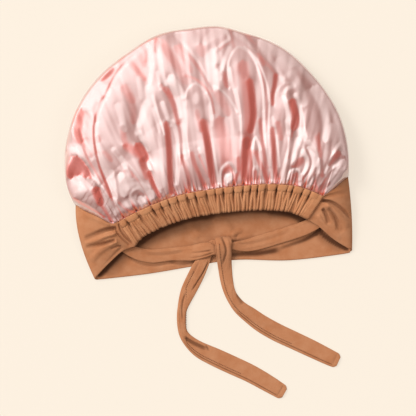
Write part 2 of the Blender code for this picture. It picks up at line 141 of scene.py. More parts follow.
# The outline from above: angle in degrees and radius round CROWN_CENTRE.
OUTLINE = (
    (195.5, 137.0),
    (184.0, 141.8),
    (160.0, 143.0),
    (140.0, 141.5),
    (125.0, 139.7),
    (110.0, 141.8),
    (98.0, 140.2),
    (85.0, 142.0),
    (74.0, 140.2),
    (58.0, 142.0),
    (40.0, 140.8),
    (20.0, 142.6),
    (-3.7, 141.4),
)

# Folds of the satin in the view frame: four places from foot to head, the width to the left
# and right of the line, and how far the cloth turns to the light at foot and head. What
# turns away from the light has negative values.
# x1, y1, x2, y2, x3, y3, x4, y4, left, right, foot, head
CROWN_FOLDS = (
    # outline on the left
    (69, 150, 74, 118, 97, 78, 140, 47, 3.0, 4.0, 2.0, 2.0),
    (82, 144, 79, 132, 79, 121, 82, 110, 6.0, 6.0, -5.4, -6.4),
    (102, 82, 106, 78, 110, 74, 114, 69, 3.4, 3.4, -6.0, -5.0),
    (119, 64, 121, 61, 123, 59, 125, 57, 2.5, 2.5, -3.5, -3.0),
    (112, 197, 99, 161, 95, 128, 104, 98, 1.5, 1.5, -6.0, -3.4),
    (125, 197, 124, 189, 124, 182, 121, 173, 5.0, 5.5, 4.6, 4.0),
    (117, 200, 116, 190, 114, 180, 112, 170, 2.4, 2.4, 2.6, 2.6),
    (143, 208, 147, 202, 151, 196, 150, 190, 4.5, 4.5, 5.4, 4.0),
    (105, 99, 114, 79, 128, 61, 150, 42, 1.4, 1.4, -4.4, -3.4),
    (117, 204, 110.5, 183, 103, 166, 98.5, 146, 1.4, 1.8, 4.4, 4.0),
    (98, 146, 97, 128, 101, 108, 112, 89, 1.8, 2.4, 2.8, 2.5),
    (112, 88, 120, 73, 131, 60, 149, 43, 2.0, 2.5, 2.5, 2.5),
    (113, 200, 100, 178, 87, 155, 80, 130, 1.4, 1.4, -2.2, -2.6),
    (113, 178, 107, 170, 102, 162, 99, 154, 3.6, 4.6, 3.0, 2.2),
    (93, 158, 90, 151, 87, 144, 86, 138, 2.6, 2.6, -3.0, -3.0),
    (93, 162, 89, 145, 88, 130, 92, 112, 2.5, 3.0, 1.5, 2.0),
    (97, 122, 95, 115, 95, 110, 97, 104, 2.0, 2.0, -2.0, -2.0),
    # pocket at the left corner
    (66, 175, 67, 156, 76, 149, 88, 165, 1.4, 1.4, 3.0, 4.0),
    (88, 165, 98, 180, 108, 198, 116, 214, 1.6, 1.6, 4.0, 3.0),
    (72, 179, 72, 171, 75, 164, 78, 157, 4.2, 4.2, -10.0, -12.0),
    (78, 176, 79, 170, 80, 165, 80, 159, 4.6, 4.6, -9.0, -11.0),
    (87, 178, 86, 173, 84, 168, 81, 163, 4.2, 4.2, -9.0, -9.0),
    (92, 179, 90, 175, 88, 171, 85, 166, 2.4, 2.4, -7.0, -8.0),
    (105, 215, 95, 206, 86, 198, 78, 189, 4.2, 4.2, 1.0, 1.2),
    (88, 201, 84, 194, 83, 188, 84, 182, 6.0, 6.0, 0.8, 1.4),
    (78, 193, 76, 189, 76, 185, 78, 182, 3.6, 3.6, 1.0, 1.6),
    (93, 189, 94, 184, 92, 181, 88, 178, 3.0, 3.0, 1.0, 1.8),
    (102, 206, 100, 199, 98, 193, 97, 187, 3.8, 3.8, -9.0, -8.0),
    (112, 220, 108, 214, 104, 208, 101, 203, 1.5, 1.5, -4.0, -4.0),
    (111, 213, 107, 203, 105, 194, 103, 186, 1.3, 1.3, 2.5, 2.0),
    (105, 217, 96, 211, 85, 205, 75, 199, 1.2, 1.2, -6.0, -5.0),
    (106, 221, 96, 214, 86, 209, 77, 205, 1.2, 1.2, 2.0, 2.0),
    # left panel
    (134, 125, 134, 113, 132, 103, 128, 94, 3.6, 4.0, -1.6, -0.5),
    (135, 104, 131, 98, 127, 92, 123, 86, 4.5, 4.5, -1.2, -2.4),
    (126, 133, 123.5, 123, 121, 113, 118, 104, 3.6, 3.6, 2.2, 2.0),
    (142, 101, 141, 93, 140, 85, 139, 77, 3.0, 3.0, 1.6, 1.6),
    (146, 86, 142, 76, 140, 64, 140, 52, 5.0, 5.0, -0.8, -0.8),
    (128, 148, 125, 140, 124, 133, 124, 126, 3.0, 3.0, -2.6, -1.6),
    (147, 82, 141, 75, 135, 69, 129, 62, 3.2, 3.2, -2.6, -2.8),
    (147, 68, 144, 63, 141, 58, 138, 54, 3.5, 3.5, -2.0, -2.0),
    (113, 162, 110, 158, 107, 155, 104, 152, 3.0, 3.0, -1.6, -1.6),
    (101, 143, 100, 140, 99, 138, 98, 136, 2.5, 2.5, -2.0, -2.0),
    (160, 190, 156, 162, 148, 128, 150, 85, 4.6, 6.0, 1.6, 2.0),
    (150, 85, 152, 70, 152, 57, 151, 46, 2.8, 3.2, 1.8, 1.4),
    (137, 136, 139, 126, 143, 113, 147, 100, 3.0, 4.0, 2.6, 1.0),
    (156, 54, 156, 50, 157, 46, 156, 39, 2.6, 2.6, -2.6, -3.6),
    (147, 62, 147, 57, 146, 52, 144, 48, 2.2, 2.2, -2.0, -2.0),
    (161, 90, 160, 85, 159, 80, 158, 74, 2.0, 2.0, 2.0, 2.0),
    (147, 162, 145, 157, 142, 151, 137, 144, 4.4, 4.2, -8.0, -8.0),
    (148, 180, 146, 173, 144, 166, 142, 159, 3.0, 3.0, -3.0, -5.0),
    (150, 152, 146, 145, 142, 138, 139, 131, 2.4, 2.4, 5.4, 4.2),
    (124, 146, 131, 149, 138, 153, 147, 159, 4.2, 4.2, -4.0, -5.0),
    (161, 198, 156, 189, 152.5, 181, 149.5, 171, 2.4, 2.2, -9.0, -8.0),
    (161, 192, 157, 184, 153.5, 175, 149, 165, 1.1, 1.3, 3.5, 3.0),
    (134, 186, 130, 176, 124, 163, 113, 148, 2.4, 2.4, 2.4, 2.4),
    (134, 178, 131, 175, 128, 173, 125, 171, 3.0, 3.0, -2.0, -2.0),
    (150, 196, 142, 182, 133, 170, 122, 158, 1.6, 1.6, 2.0, 2.2),
    (146, 192, 137, 178, 128, 166, 116, 152, 1.4, 1.4, -2.0, -1.4),
    (132, 205, 131, 194, 139, 188, 147, 194, 1.5, 1.5, 2.5, 2.5),
    (116, 211, 126, 205, 136, 200, 150, 196, 5.0, 5.0, 2.4, 2.4),
    (124, 189, 133, 186, 142, 186, 151, 190, 4.0, 4.0, 2.6, 2.6),
    (142, 203, 141, 201, 141, 200, 140, 198, 1.8, 1.8, 4.0, 4.0),
    (138, 199, 139, 196, 141, 194, 144, 195, 1.5, 1.5, -2.5, -2.5),
    (137, 212, 131, 211, 125, 208, 120, 203, 1.3, 1.3, -4.0, -4.0),
    # between the left panel and the middle
    (167, 92, 163, 75, 160, 58, 158, 44, 2.8, 2.4, 3.0, 2.4),
    (185, 100, 180, 92, 175, 85, 170, 76, 3.8, 3.8, 3.4, 2.8),
    (180, 120, 178, 104, 174, 92, 168, 80, 2.5, 3.0, 2.5, 2.5),
    (179, 126, 176, 112, 171, 98, 165, 88, 2.9, 2.9, -3.4, -3.0),
    (173, 99, 169, 94, 165, 89, 160, 86, 2.6, 2.6, -1.6, -3.0),
    (171, 128, 168, 119, 165, 110, 162, 102, 2.4, 2.4, 2.2, 2.0),
    (160, 132, 158, 124, 156, 116, 155, 110, 2.0, 2.0, 1.8, 1.8),
    (165, 135, 160, 120, 156, 107, 153, 97, 1.3, 1.3, 3.0, 3.0),
    (171.5, 195, 170, 175, 169, 150, 166.5, 122, 2.2, 3.0, -7.0, -5.0),
    (166, 194, 163, 172, 161, 150, 160, 135, 2.2, 2.2, 1.6, 1.0),
    (177, 184, 178.5, 160, 178, 140, 173, 122, 2.2, 2.2, 3.5, 2.0),
    (181, 165, 181, 148, 180, 135, 178, 124, 1.5, 1.5, -1.8, -1.8),
    (190, 195, 189, 181, 186, 168, 182, 155, 2.2, 2.4, -7.0, -3.5),
    (186, 160, 185, 135, 184, 112, 180, 97, 2.6, 3.0, 2.4, 2.4),
    (197, 152, 193, 132, 189, 114, 186, 101, 3.6, 3.4, 0.8, 1.2),
    (205, 188, 200, 176, 195, 165, 192, 154, 2.2, 2.0, -5.0, -2.4),
    (193, 192, 188, 176, 186, 162, 187, 150, 2.6, 2.6, 3.4, 2.4),
    (209, 177, 206, 170, 203, 163, 200, 156, 1.6, 1.6, -3.5, -3.0),
    (211, 186, 207, 171, 203, 160, 199, 149, 1.4, 1.4, 3.0, 2.5),
    (187, 86, 179, 71, 170, 57, 160, 42, 4.4, 5.0, -1.0, -2.4),
    (192, 74, 186, 63, 181, 55, 175, 47, 3.2, 3.2, -1.4, -1.4),
    (212, 92, 202, 74, 191, 59, 180, 47, 2.0, 2.0, -1.6, -1.6),
    (208, 82, 200, 66, 190, 52, 181, 42, 1.6, 1.6, 1.2, 1.2),
    (186, 106, 187, 92, 196, 85, 206, 94, 1.2, 1.2, 1.6, 1.6),
    (206, 94, 210, 102, 212, 113, 212, 126, 1.5, 1.5, 1.8, 1.8),
    (196, 105, 196, 102, 196, 98, 196, 94, 4.0, 4.0, 1.2, 1.2),
    (202, 133, 200, 125, 198, 117, 197, 110, 2.6, 2.6, -3.4, -0.8),
    (214, 114, 209, 94, 198, 82, 186, 77, 1.4, 1.4, -2.4, -2.0),
    # middle
    (213, 188, 210, 167, 207.5, 146, 202.5, 120, 2.8, 3.8, -9.0, -4.6),
    (219, 183, 215, 161, 212, 138, 209, 105, 1.2, 1.2, 3.8, 1.4),
    (174, 36, 183, 37, 192, 40, 198, 46, 5.0, 4.0, 2.6, 2.6),
    (203, 46, 209, 39, 217, 34, 226, 32, 4.0, 4.5, 2.6, 3.0),
    (203, 58, 202, 53, 201, 49, 200, 45, 6.0, 6.0, -1.4, -1.2),
    (219, 48, 224, 44, 229, 40, 226, 31, 1.8, 1.8, 2.5, 3.5),
    (229, 43, 225, 46, 221, 49, 217, 53, 1.6, 1.6, -1.2, -1.4),
    (221, 80, 222, 70, 225, 60, 229, 50, 2.2, 2.2, 2.0, 2.6),
    (234, 48, 232, 43, 231, 37, 229, 31, 2.0, 2.0, -0.8, -1.0),
    (216, 92, 214, 76, 213, 63, 216, 50, 7.5, 8.0, 2.1, 2.5),
    (218, 69, 217, 68, 217, 66, 217, 65, 2.5, 2.5, -2.5, -2.5),
    (228, 89, 226, 84, 224, 78, 222, 73, 3.2, 3.2, -3.0, -2.6),
    (234, 90, 234, 80, 236, 72, 240, 66, 3.5, 3.5, -1.4, -0.6),
    (229, 117, 225, 108, 220, 99, 216, 91, 4.4, 4.4, -1.4, -1.4),
    (237, 113, 230, 101, 223, 93, 214, 87, 1.2, 1.2, 3.4, 3.0),
    (240, 117, 237, 100, 232, 85, 229, 70, 1.6, 1.6, 2.6, 2.6),
    (240, 167, 240, 150, 241, 135, 240, 117, 1.2, 1.2, 1.4, 1.6),
    (231, 138, 230, 131, 229, 125, 226, 118, 5.0, 5.0, 0.8, 1.6),
    (227, 174, 226, 156, 223, 138, 219, 118, 7.0, 8.0, -2.6, -2.2),
    (239, 171, 239, 158, 239, 146, 239, 132, 2.4, 2.4, -1.8, -1.2),
    (220, 184, 221, 170, 229, 163, 236, 172, 1.6, 1.6, 3.0, 3.0),
    (223, 184, 223, 174, 229, 168, 234, 176, 1.2, 1.2, -2.6, -2.4),
    (225, 185, 225, 178, 229, 173, 232, 179, 1.2, 1.2, 2.4, 2.4),
    (228, 182, 228, 180, 227, 178, 227, 176, 1.8, 1.8, 3.5, 3.5),
    (233, 187, 236, 178, 238, 170, 238, 159, 1.6, 1.6, -6.0, -3.5),
    # great hollow and the folds round it
    (247, 150, 249, 120, 247, 90, 242, 62, 6.0, 4.5, -3.2, -2.0),
    (249, 134, 253, 118, 252, 100, 249, 80, 3.5, 3.0, -6.0, -5.0),
    (246, 187, 244, 172, 245, 156, 247, 138, 3.8, 3.4, -10.0, -7.0),
    (240, 150, 239, 120, 236, 90, 236, 64, 2.8, 2.8, 1.0, 0.6),
    (229, 90, 228, 64, 237, 49, 249, 53, 1.3, 1.3, 2.0, 4.0),
    (263, 112, 262, 90, 257, 68, 249, 53, 1.2, 1.2, 3.8, 3.4),
    (272, 182, 267, 158, 264, 135, 263, 112, 1.1, 1.1, 2.8, 3.2),
    (268, 168, 265, 150, 262, 134, 260, 120, 1.6, 1.6, -2.0, -1.6),
    (269, 106, 266, 84, 256, 60, 244, 48, 0.9, 0.9, 2.2, 2.2),
    (270, 166, 268, 146, 268, 126, 269, 106, 0.9, 0.9, 1.6, 1.6),
    (266, 132, 266, 102, 263, 83, 257, 66, 0.9, 0.9, -1.6, -1.8),
    (263, 66, 258, 55, 252, 45, 247, 36, 2.2, 2.2, -1.8, -1.2),
    (258, 54, 249, 45, 241, 39, 233, 33, 3.0, 3.0, 1.8, 1.8),
    (276, 76, 271, 69, 266, 64, 261, 60, 2.2, 2.2, -1.6, -1.0),
    (272, 105, 272, 95, 274, 86, 275, 77, 2.0, 2.0, -5.5, -4.5),
    (253, 166, 252, 149, 255, 138, 260, 150, 1.2, 1.2, 3.5, 3.5),
    (250, 186, 250, 175, 251, 164, 251, 152, 2.0, 2.0, -6.0, -5.0),
    (266, 182, 263, 172, 259, 162, 256, 153, 2.2, 2.2, -5.5, -3.8),
    (264, 185, 262, 175, 260, 164, 259, 152, 1.3, 1.3, 2.5, 2.5),
    (251, 181, 252, 170, 256, 167, 259, 175, 1.2, 1.2, 1.8, 1.8),
    (255, 184, 255, 180, 255, 176, 255, 172, 1.5, 1.5, -6.0, -4.0),
    (267, 181, 264, 160, 261, 140, 259, 122, 1.5, 1.5, -3.4, -1.6),
    # right panel
    (274, 107, 275, 95, 282, 85, 292, 84, 1.2, 1.2, 1.0, 1.2),
    (279, 84, 284, 78, 290, 74, 297, 72, 2.4, 2.4, 0.8, 0.6),
    (284, 84, 277, 72, 269, 60, 262, 49, 3.2, 3.2, 1.4, 1.4),
    (284, 93, 286, 90, 290, 88, 293, 87, 2.2, 2.2, 2.4, 2.4),
    (288, 133, 287, 120, 286, 108, 283, 98, 2.0, 2.0, 4.0, 2.4),
    (278, 124, 278, 115, 279, 107, 281, 99, 4.0, 4.0, -0.5, 0.0),
    (292, 131, 295, 119, 293, 108, 291, 100, 3.8, 3.8, -8.0, -6.5),
    (288, 158, 289, 148, 290, 139, 292, 131, 1.2, 1.2, -2.5, -3.0),
    (292, 166, 293, 156, 295, 146, 298, 138, 3.0, 3.0, 2.4, 2.4),
    (305, 142, 301.5, 125, 298.5, 108, 294, 94, 2.2, 2.4, 3.0, 3.4),
    (314, 174, 316, 160, 312, 149, 306, 141, 2.2, 2.4, 2.4, 2.4),
    (280, 183, 285, 161, 289, 143, 286, 122, 1.8, 1.8, 4.5, 3.0),
    (281, 141, 279, 134, 278, 128, 276, 122, 3.0, 3.0, -2.0, -2.0),
    (276, 182, 274, 165, 273, 148, 272, 130, 2.2, 2.2, -7.0, -4.0),
    (279, 167, 277, 148, 275, 133, 272, 118, 1.3, 1.3, 1.8, 1.8),
    (303, 108, 300, 92, 290, 74, 276, 60, 5.0, 5.0, 2.0, 1.8),
    (313, 132, 313, 118, 312, 104, 307, 90, 5.0, 5.0, 0.7, 1.0),
    (321, 176, 320, 164, 319, 152, 316, 138, 2.2, 2.2, -2.8, -1.8),
    (318, 152, 318, 146, 318, 140, 318, 134, 1.2, 1.2, -1.8, -1.8),
    (318, 174, 325, 152, 327, 126, 324, 105, 2.6, 2.6, 2.2, 0.2),
    (330, 183, 335, 175, 339, 168, 343, 160, 4.4, 4.4, 4.0, 4.0),
    (325, 178, 328, 172, 331, 165, 334, 158, 2.6, 2.6, 1.4, 1.4),
    (332, 154, 333, 144, 332, 134, 330, 124, 3.4, 3.4, 2.0, 1.6),
    (324, 143, 325, 123, 321, 104, 312, 87, 4.4, 4.4, 2.8, 3.2),
    (345, 156, 339, 122, 323, 86, 290, 56, 7.0, 7.0, 3.4, 3.2),
    (296, 66, 284, 56, 270, 48, 258, 42, 7.0, 7.0, 3.2, 3.0),
    (300, 158, 301, 148, 301, 138, 299, 128, 4.0, 4.0, 1.4, 1.4),
    (303, 183, 310, 172, 312, 160, 307, 147, 2.2, 2.4, 4.4, 4.0),
    (307, 187, 312, 180, 317, 171, 318, 160, 1.8, 1.8, 4.0, 3.0),
    (299, 179, 305, 169, 306, 160, 302, 152, 2.0, 2.0, 3.4, 3.4),
    (302, 179, 309, 169, 310, 160, 306, 150, 1.0, 1.0, -2.4, -2.0),
    (291, 167, 295, 165, 299, 162, 302, 158, 3.6, 3.6, -3.0, -2.6),
    (287, 179, 290, 171, 297, 170, 300, 179, 1.4, 1.4, 3.0, 3.0),
    (296, 185, 296, 181, 296, 178, 296, 174, 1.5, 1.5, -5.0, -4.0),
    (290, 184, 291, 181, 292, 178, 293, 175, 1.2, 1.2, -4.0, -3.0),
    (304, 185, 303, 182, 302, 179, 301, 176, 1.2, 1.2, -4.0, -3.0),
    (317, 191, 314, 183, 314, 176, 315, 169, 1.7, 1.7, -4.0, -2.6),
    # pocket at the right corner
    (324, 173, 330, 158, 339, 144, 346, 153, 1.6, 1.6, 3.5, 4.0),
    (338, 179, 343, 171, 346, 162, 346, 153, 1.6, 1.6, 3.0, 3.0),
    (327, 166, 331, 161, 335, 156, 339, 152, 3.0, 3.0, -4.0, -3.6),
    (320, 184, 327, 173, 333, 167, 340, 162, 1.3, 1.3, 3.0, 3.0),
    (319, 191, 322, 184, 325, 177, 330, 169, 1.6, 1.6, -3.4, -3.0),
    (326, 187, 331, 181, 336, 174, 341, 166, 0.9, 0.9, -2.4, -2.0),
    (325, 192, 331, 187, 336, 182, 341, 177, 3.4, 3.4, 5.0, 5.0),
)

# Casing ----------------------------------------------------------------------------------
# The casing's two edges from left to right:
# upper_x, upper_y, upper_z, lower_x, lower_y, lower_z
CASING = (
    (-90.0, -71.5, 19.0, -73.5, -96.0, 10.5),
    (-76.5, -64.0, 21.5, -63.0, -85.5, 12.5),
    (-53.0, -53.2, 23.5, -41.7, -75.5, 14.0),
    (-27.4, -44.6, 24.5, -20.0, -68.5, 15.0),
    (2.0, -39.2, 25.0, 6.0, -63.8, 15.5),
    (30.0, -36.0, 25.0, 31.0, -61.2, 15.5),
    (58.0, -34.0, 24.5, 56.0, -60.2, 15.0),
    (84.0, -35.5, 23.0, 76.0, -61.6, 14.0),
    (101.0, -40.4, 21.0, 88.0, -65.0, 12.5),
    (113.5, -46.0, 19.0, 98.0, -69.5, 10.5),
)
CASING_STEPS = 12  # lofted steps between two rows of the table
CASING_COLUMNS = 820
CASING_FRONT = 46  # points down the front of its section
CASING_BACK = 8  # and up the back
CASING_BULGE = 0.8
CASING_HALF = 2.0  # half its thickness
CASING_EDGE = 0.4  # of that half: how far behind the middle its front ends below
CASING_TURN = 0.09  # of its depth, over which the lower edge turns under
BACK_MARGIN = 0.03  # of its depth: where the back's points stop, at both edges
GAP_DEPTH = 0.8  # how far the gaps between ribs go in
PIT_DEPTH = 2.2  # and those between puffs
PIT_WIDTH = 0.9
PIT_REACH = 0.62  # of the casing's depth
PIT_LEAN = 0.5  # a pit leans by this share of the ribs' lean
PIT_BEND = 1.6  # how soon it has all of that lean
PIT_START = 0.1  # of the casing's depth: where it starts, and over which it deepens
PUFF_DEPTH = 0.25  # of the casing's depth is the row of puffs
PUFF_RISE = 1.7
PUFF_EDGE = 3.4  # power of the puffs' round outline
PUFF_TOP = 0.25  # of the row's depth: where the puffs are widest
PUFF_ROUND = 0.4  # power of their rise: less is flatter on top
RIB_START = 0.16  # of the casing's depth
RIB_FADE = 0.06  # over which a rib rises, and how much later some start
RIB_BEND = 0.15  # of the casing's depth: where a rib starts to lean
RIB_RADIUS = 1.6
RIB_RISE = 1.0
RIB_SPACING = 2.9
RIB_HEADS = 0.86  # of a puff's width, over which its ribs' heads are spread
RIB_FEET = 1.12  # and their feet
RIB_LEAN = 4.0  # how far a rib's foot is carried on, to the right
LEAN_LEFT = 20.0  # over which the ribs start to lean, from the casing's left end
LEAN_RIGHT = 40.0  # and stop, up to its right end
RIB_SIZES = (0.55, 1.3)  # smallest and largest rib
RIB_WANDER = 1.8  # how far a rib's foot may stray from under its head
HOLLOW_SHARE = 0.9  # how dark the painted shade in the gaps is, at most
HOLLOW_START = 0.35  # a gap less deep than this gets no painted shade
EDGE_SHADE = 0.6  # how dark the painted shade on the lower edge is, where it turns under
EDGE_SHADE_START = 0.84  # of the casing's depth
EDGE_WAVE = 0.35  # of the height of feet and puffs: how far the edges go out with them
EDGE_WAVE_START = 0.7  # of the casing's depth
FOOT_POINTS = 6  # the front's last points, the highest of which counts as a rib's foot
PUFF_POINT = 4  # the point down the front whose height lifts the upper edge
TAB_WIDTH = 8.0
TAB_RISE = 1.6

# Puffs along the seam: centre across the view, and width.
PUFFS = (
    (120.0, 10.0),
    (131.5, 11.0),
    (145.0, 12.0),
    (156.0, 8.0),
    (164.0, 7.5),
    (172.5, 8.5),
    (181.5, 8.5),
    (191.0, 7.0),
    (200.5, 10.0),
    (211.0, 8.0),
    (219.0, 7.5),
    (228.5, 9.0),
    (238.5, 8.5),
    (247.0, 6.5),
    (254.5, 6.0),
    (262.0, 7.5),
    (272.5, 8.5),
    (283.0, 10.0),
    (290.5, 5.0),
    (298.5, 9.0),
    (307.0, 6.5),
    (315.0, 8.0),
)

# Band ------------------------------------------------------------------------------------
# Sections across the band, from its left end round the front to its right end:
# seam_x, seam_y, seam_z, middle_x, middle_y, middle_z, free_x, free_y, free_z
BAND = (
    (-97.5, -73.3, 19.5, -92.5, -87.5, 17.0, -86.0, -101.0, 10.0),  # left gathers
    (-111.0, -66.5, 18.0, -109.0, -90.0, 15.0, -99.0, -112.5, 8.0),  # left face
    (-125.0, -60.0, 14.0, -123.5, -90.5, 11.5, -109.5, -123.5, 6.2),
    (-132.8, -55.0, 8.0, -129.0, -89.0, 6.5, -114.0, -128.4, 3.2),  # left fold
    (-130.2, -55.0, 2.0, -126.6, -91.0, 1.5, -112.6, -129.4, 0.8),
    (-122.0, -54.0, 0.0, -118.0, -92.0, 0.0, -107.0, -129.2, 0.0),  # front, lying below
    (-70.0, -49.0, 0.0, -67.0, -87.0, 0.0, -61.0, -123.9, 0.0),
    (-20.0, -44.0, 0.0, -18.0, -81.0, 0.0, -15.0, -116.2, 0.0),
    (25.0, -39.0, 0.0, 25.0, -75.0, 0.0, 26.0, -109.8, 0.0),
    (75.0, -34.0, 0.0, 77.0, -72.0, 0.0, 80.0, -110.3, 0.0),
    (126.0, -29.0, 0.0, 130.0, -66.0, 0.0, 134.0, -104.0, 0.0),
    (136.2, -27.5, 2.0, 139.8, -66.0, 1.5, 141.2, -101.6, 0.8),
    (138.6, -27.0, 8.0, 142.4, -65.0, 6.5, 142.8, -99.5, 3.2),  # right fold
    (132.5, -32.0, 14.0, 138.0, -62.0, 12.0, 137.6, -97.5, 6.2),
    (124.0, -39.0, 18.0, 129.0, -60.0, 16.0, 124.0, -89.0, 8.0),  # right face
    (117.5, -43.8, 19.5, 116.0, -59.0, 17.5, 110.0, -77.0, 10.0),  # right gathers
)
LEFT_FOLD, RIGHT_FOLD = 3, 12  # the table's rows where the band turns under
LEFT_FLOOR, RIGHT_FLOOR = 5, 10  # and where its front lies flat
BAND_STEPS = 28  # lofted steps between two rows
BAND_ACROSS = 56
BAND_WALL = 1.8
SEAM_GAP = 0.2  # between the band and the casing
SIDE_GAP = 0.25  # and the crown
BAND_CREASE_END = 0.15  # share of a crease's length over which it dies at each end
BAND_RIM = 0.06  # of the band's width: creases die off at both its edges
BAND_SHADE_DEPTH = 7.0  # a crease as deep as this gets the darkest painted shade
BAND_SHADE = 0.92  # how dark that painted shade is, at most

# Creases of the band in the view frame, as for the crown. The face is 1 for the left
# gathered face, 2 for the front and 3 for the right gathered face. A crease that goes in is
# also painted darker; where the front lies flat on the floor it can't sink, so there the rows
# under the casing, the faces and the ties are painted shadow alone.
# face, x1, y1, x2, y2, x3, y3, x4, y4, left, right, foot, head
BAND_CREASES = (
    (1, 118, 228, 107, 230, 97, 234, 84, 240, 1.6, 2.4, -4.6, -1.4),
    (1, 118, 233, 107, 236, 97, 240, 84, 244, 2.0, 1.6, 3.0, 0.8),
    (1, 117, 240, 108, 243, 99, 245, 84, 248, 1.4, 2.0, -4.6, -1.0),
    (1, 119, 240, 108, 246, 99, 252, 90, 262, 3.0, 3.0, 2.6, 0.8),
    (1, 122, 246, 119, 246, 115, 247, 111, 249, 1.0, 1.0, -2.4, -1.0),
    (1, 112, 224, 103, 220, 93, 216, 82, 212, 3.5, 3.5, 1.6, 0.8),
    (1, 119, 223, 121, 230, 126, 237, 134, 244, 0.8, 0.8, -1.6, -1.6),
    (1, 116, 226, 118, 233, 124, 240, 131, 246, 0.8, 0.8, -1.6, -1.4),
    (1, 124, 246, 117, 252, 110, 260, 103, 269, 1.5, 1.5, -1.0, -0.5),
    (3, 319, 200, 331, 202, 342, 209, 353, 221, 1.2, 1.8, -4.6, -1.6),
    (3, 322, 197, 332, 195, 342, 193, 352, 192, 2.0, 2.0, -2.0, -0.5),
    (3, 324, 204, 333, 210, 341, 218, 349, 228, 2.5, 2.5, 2.5, 1.0),
    (3, 322, 208, 325, 213, 327, 218, 329, 224, 1.6, 2.0, -3.6, -1.6),
    (3, 328, 207, 334, 215, 337, 223, 337, 232, 1.8, 1.8, -2.0, -0.8),
    (3, 317, 214, 322, 222, 330, 231, 341, 240, 2.0, 2.5, 1.5, 1.0),
    (3, 326, 208, 333, 216, 338, 224, 342, 233, 2.5, 2.5, -1.5, -1.0),
    (2, 309, 224, 300, 217, 288, 212, 266, 210, 5.0, 5.0, -14.0, -5.0),  # under the casing
    (2, 276, 211, 250, 210, 230, 212, 200, 217, 3.8, 3.8, -6.5, -5.5),
    (2, 210, 215, 188, 219, 166, 226, 144, 237, 4.2, 4.2, -5.5, -5.5),
    (2, 152, 232, 144, 240, 139, 244, 133, 249, 3.5, 3.5, -6.0, -6.0),
    (2, 138, 243, 165, 230, 190, 224, 216, 222, 9.0, 9.0, -2.6, -2.0),
    (2, 126, 245, 116, 256, 106, 266, 95, 279, 4.0, 4.0, -9.0, -7.0),  # under the left face
    (2, 130, 248, 122, 259, 114, 268, 104, 275, 7.0, 7.0, -3.0, -2.0),
    (2, 126, 254, 140, 263, 156, 265, 176, 261, 1.8, 1.8, -4.0, -4.0),  # under the ties
    (2, 168, 262, 184, 263, 198, 261, 216, 257, 2.4, 2.4, -4.0, -6.0),
    (2, 228, 255, 244, 254, 260, 253, 282, 249, 2.6, 2.6, -6.0, -6.5),
    (2, 278, 249, 292, 244, 306, 239, 322, 230, 2.0, 2.0, -3.0, -8.0),
    (2, 312, 217, 320, 231, 332, 241, 353, 252, 2.2, 2.2, -10.0, -9.0),  # under the right face
    (2, 312, 224, 322, 235, 332, 242, 344, 249, 6.0, 6.0, -3.0, -2.0),
    (2, 233, 242, 239, 240, 246, 238, 256, 235, 1.6, 1.6, -4.0, -1.0),
    (2, 212, 240, 200, 232, 186, 226, 168, 223, 3.0, 5.0, -1.0, 0.0),
    (2, 234, 240, 233, 236, 236, 232, 242, 231, 1.5, 1.5, 2.6, 1.5),
    (2, 232, 237, 228, 230, 222, 222, 214, 216, 5.0, 5.0, 2.2, 0.8),
    (2, 244, 236, 258, 228, 274, 224, 290, 222, 4.0, 4.0, -0.5, 0.0),
    (2, 200, 238, 192, 230, 188, 222, 186, 216, 4.0, 4.0, 1.6, 0.6),
    (2, 130, 262, 160, 266, 200, 258, 250, 256, 5.0, 3.0, 1.0, 1.0),
)

# Ties ------------------------------------------------------------------------------------
# The straps from the band to their ends: x, y and z of the middle line, width, thickness
TIE_LEFT = (
    (-91.0, -94.0, 7.4, 11.0, 2.0),  # sewn in under the band's gathered end
    (-83.0, -98.2, 5.8, 10.0, 2.0),
    (-71.0, -103.5, 4.2, 12.5, 2.0),
    (-56.0, -106.0, 3.4, 13.5, 2.0),
    (-38.0, -104.0, 3.5, 13.0, 2.0),
    (-18.0, -103.0, 4.6, 15.0, 2.4),
    (-7.0, -100.4, 7.1, 15.0, 2.8),
    (1.0, -99.2, 7.4, 13.0, 3.2),  # over the other tie's tail
    (8.0, -100.5, 5.7, 8.0, 3.2),
    (13.5, -100.0, 4.0, 6.8, 3.2),
    (14.4, -95.0, 3.7, 7.0, 2.6),  # behind the other tie
    (14.2, -91.0, 4.0, 10.0, 2.6),
    (14.2, -87.8, 7.3, 14.5, 2.6),  # up and over it
    (14.2, -90.5, 10.6, 16.8, 2.6),
    (14.3, -96.0, 11.0, 16.6, 2.6),
    (14.7, -103.0, 8.8, 15.8, 2.4),
    (15.4, -111.5, 4.4, 14.6, 2.2),
    (16.4, -121.0, 1.5, 13.6, 2.2),
    (18.2, -133.0, 1.1, 12.5, 2.2),
    (22.0, -145.0, 1.4, 11.5, 2.8),
    (30.0, -156.5, 1.3, 13.5, 2.6),
    (40.0, -164.5, 1.0, 16.0, 2.0),
    (52.5, -173.6, 1.0, 17.5, 2.0),
    (68.0, -182.4, 1.0, 18.0, 2.0),
    (84.0, -189.9, 1.0, 17.8, 2.0),
    (102.5, -198.6, 1.0, 17.4, 2.0),
    (121.0, -207.6, 1.0, 16.0, 2.0),
    (129.5, -211.5, 1.0, 14.5, 2.0),
)
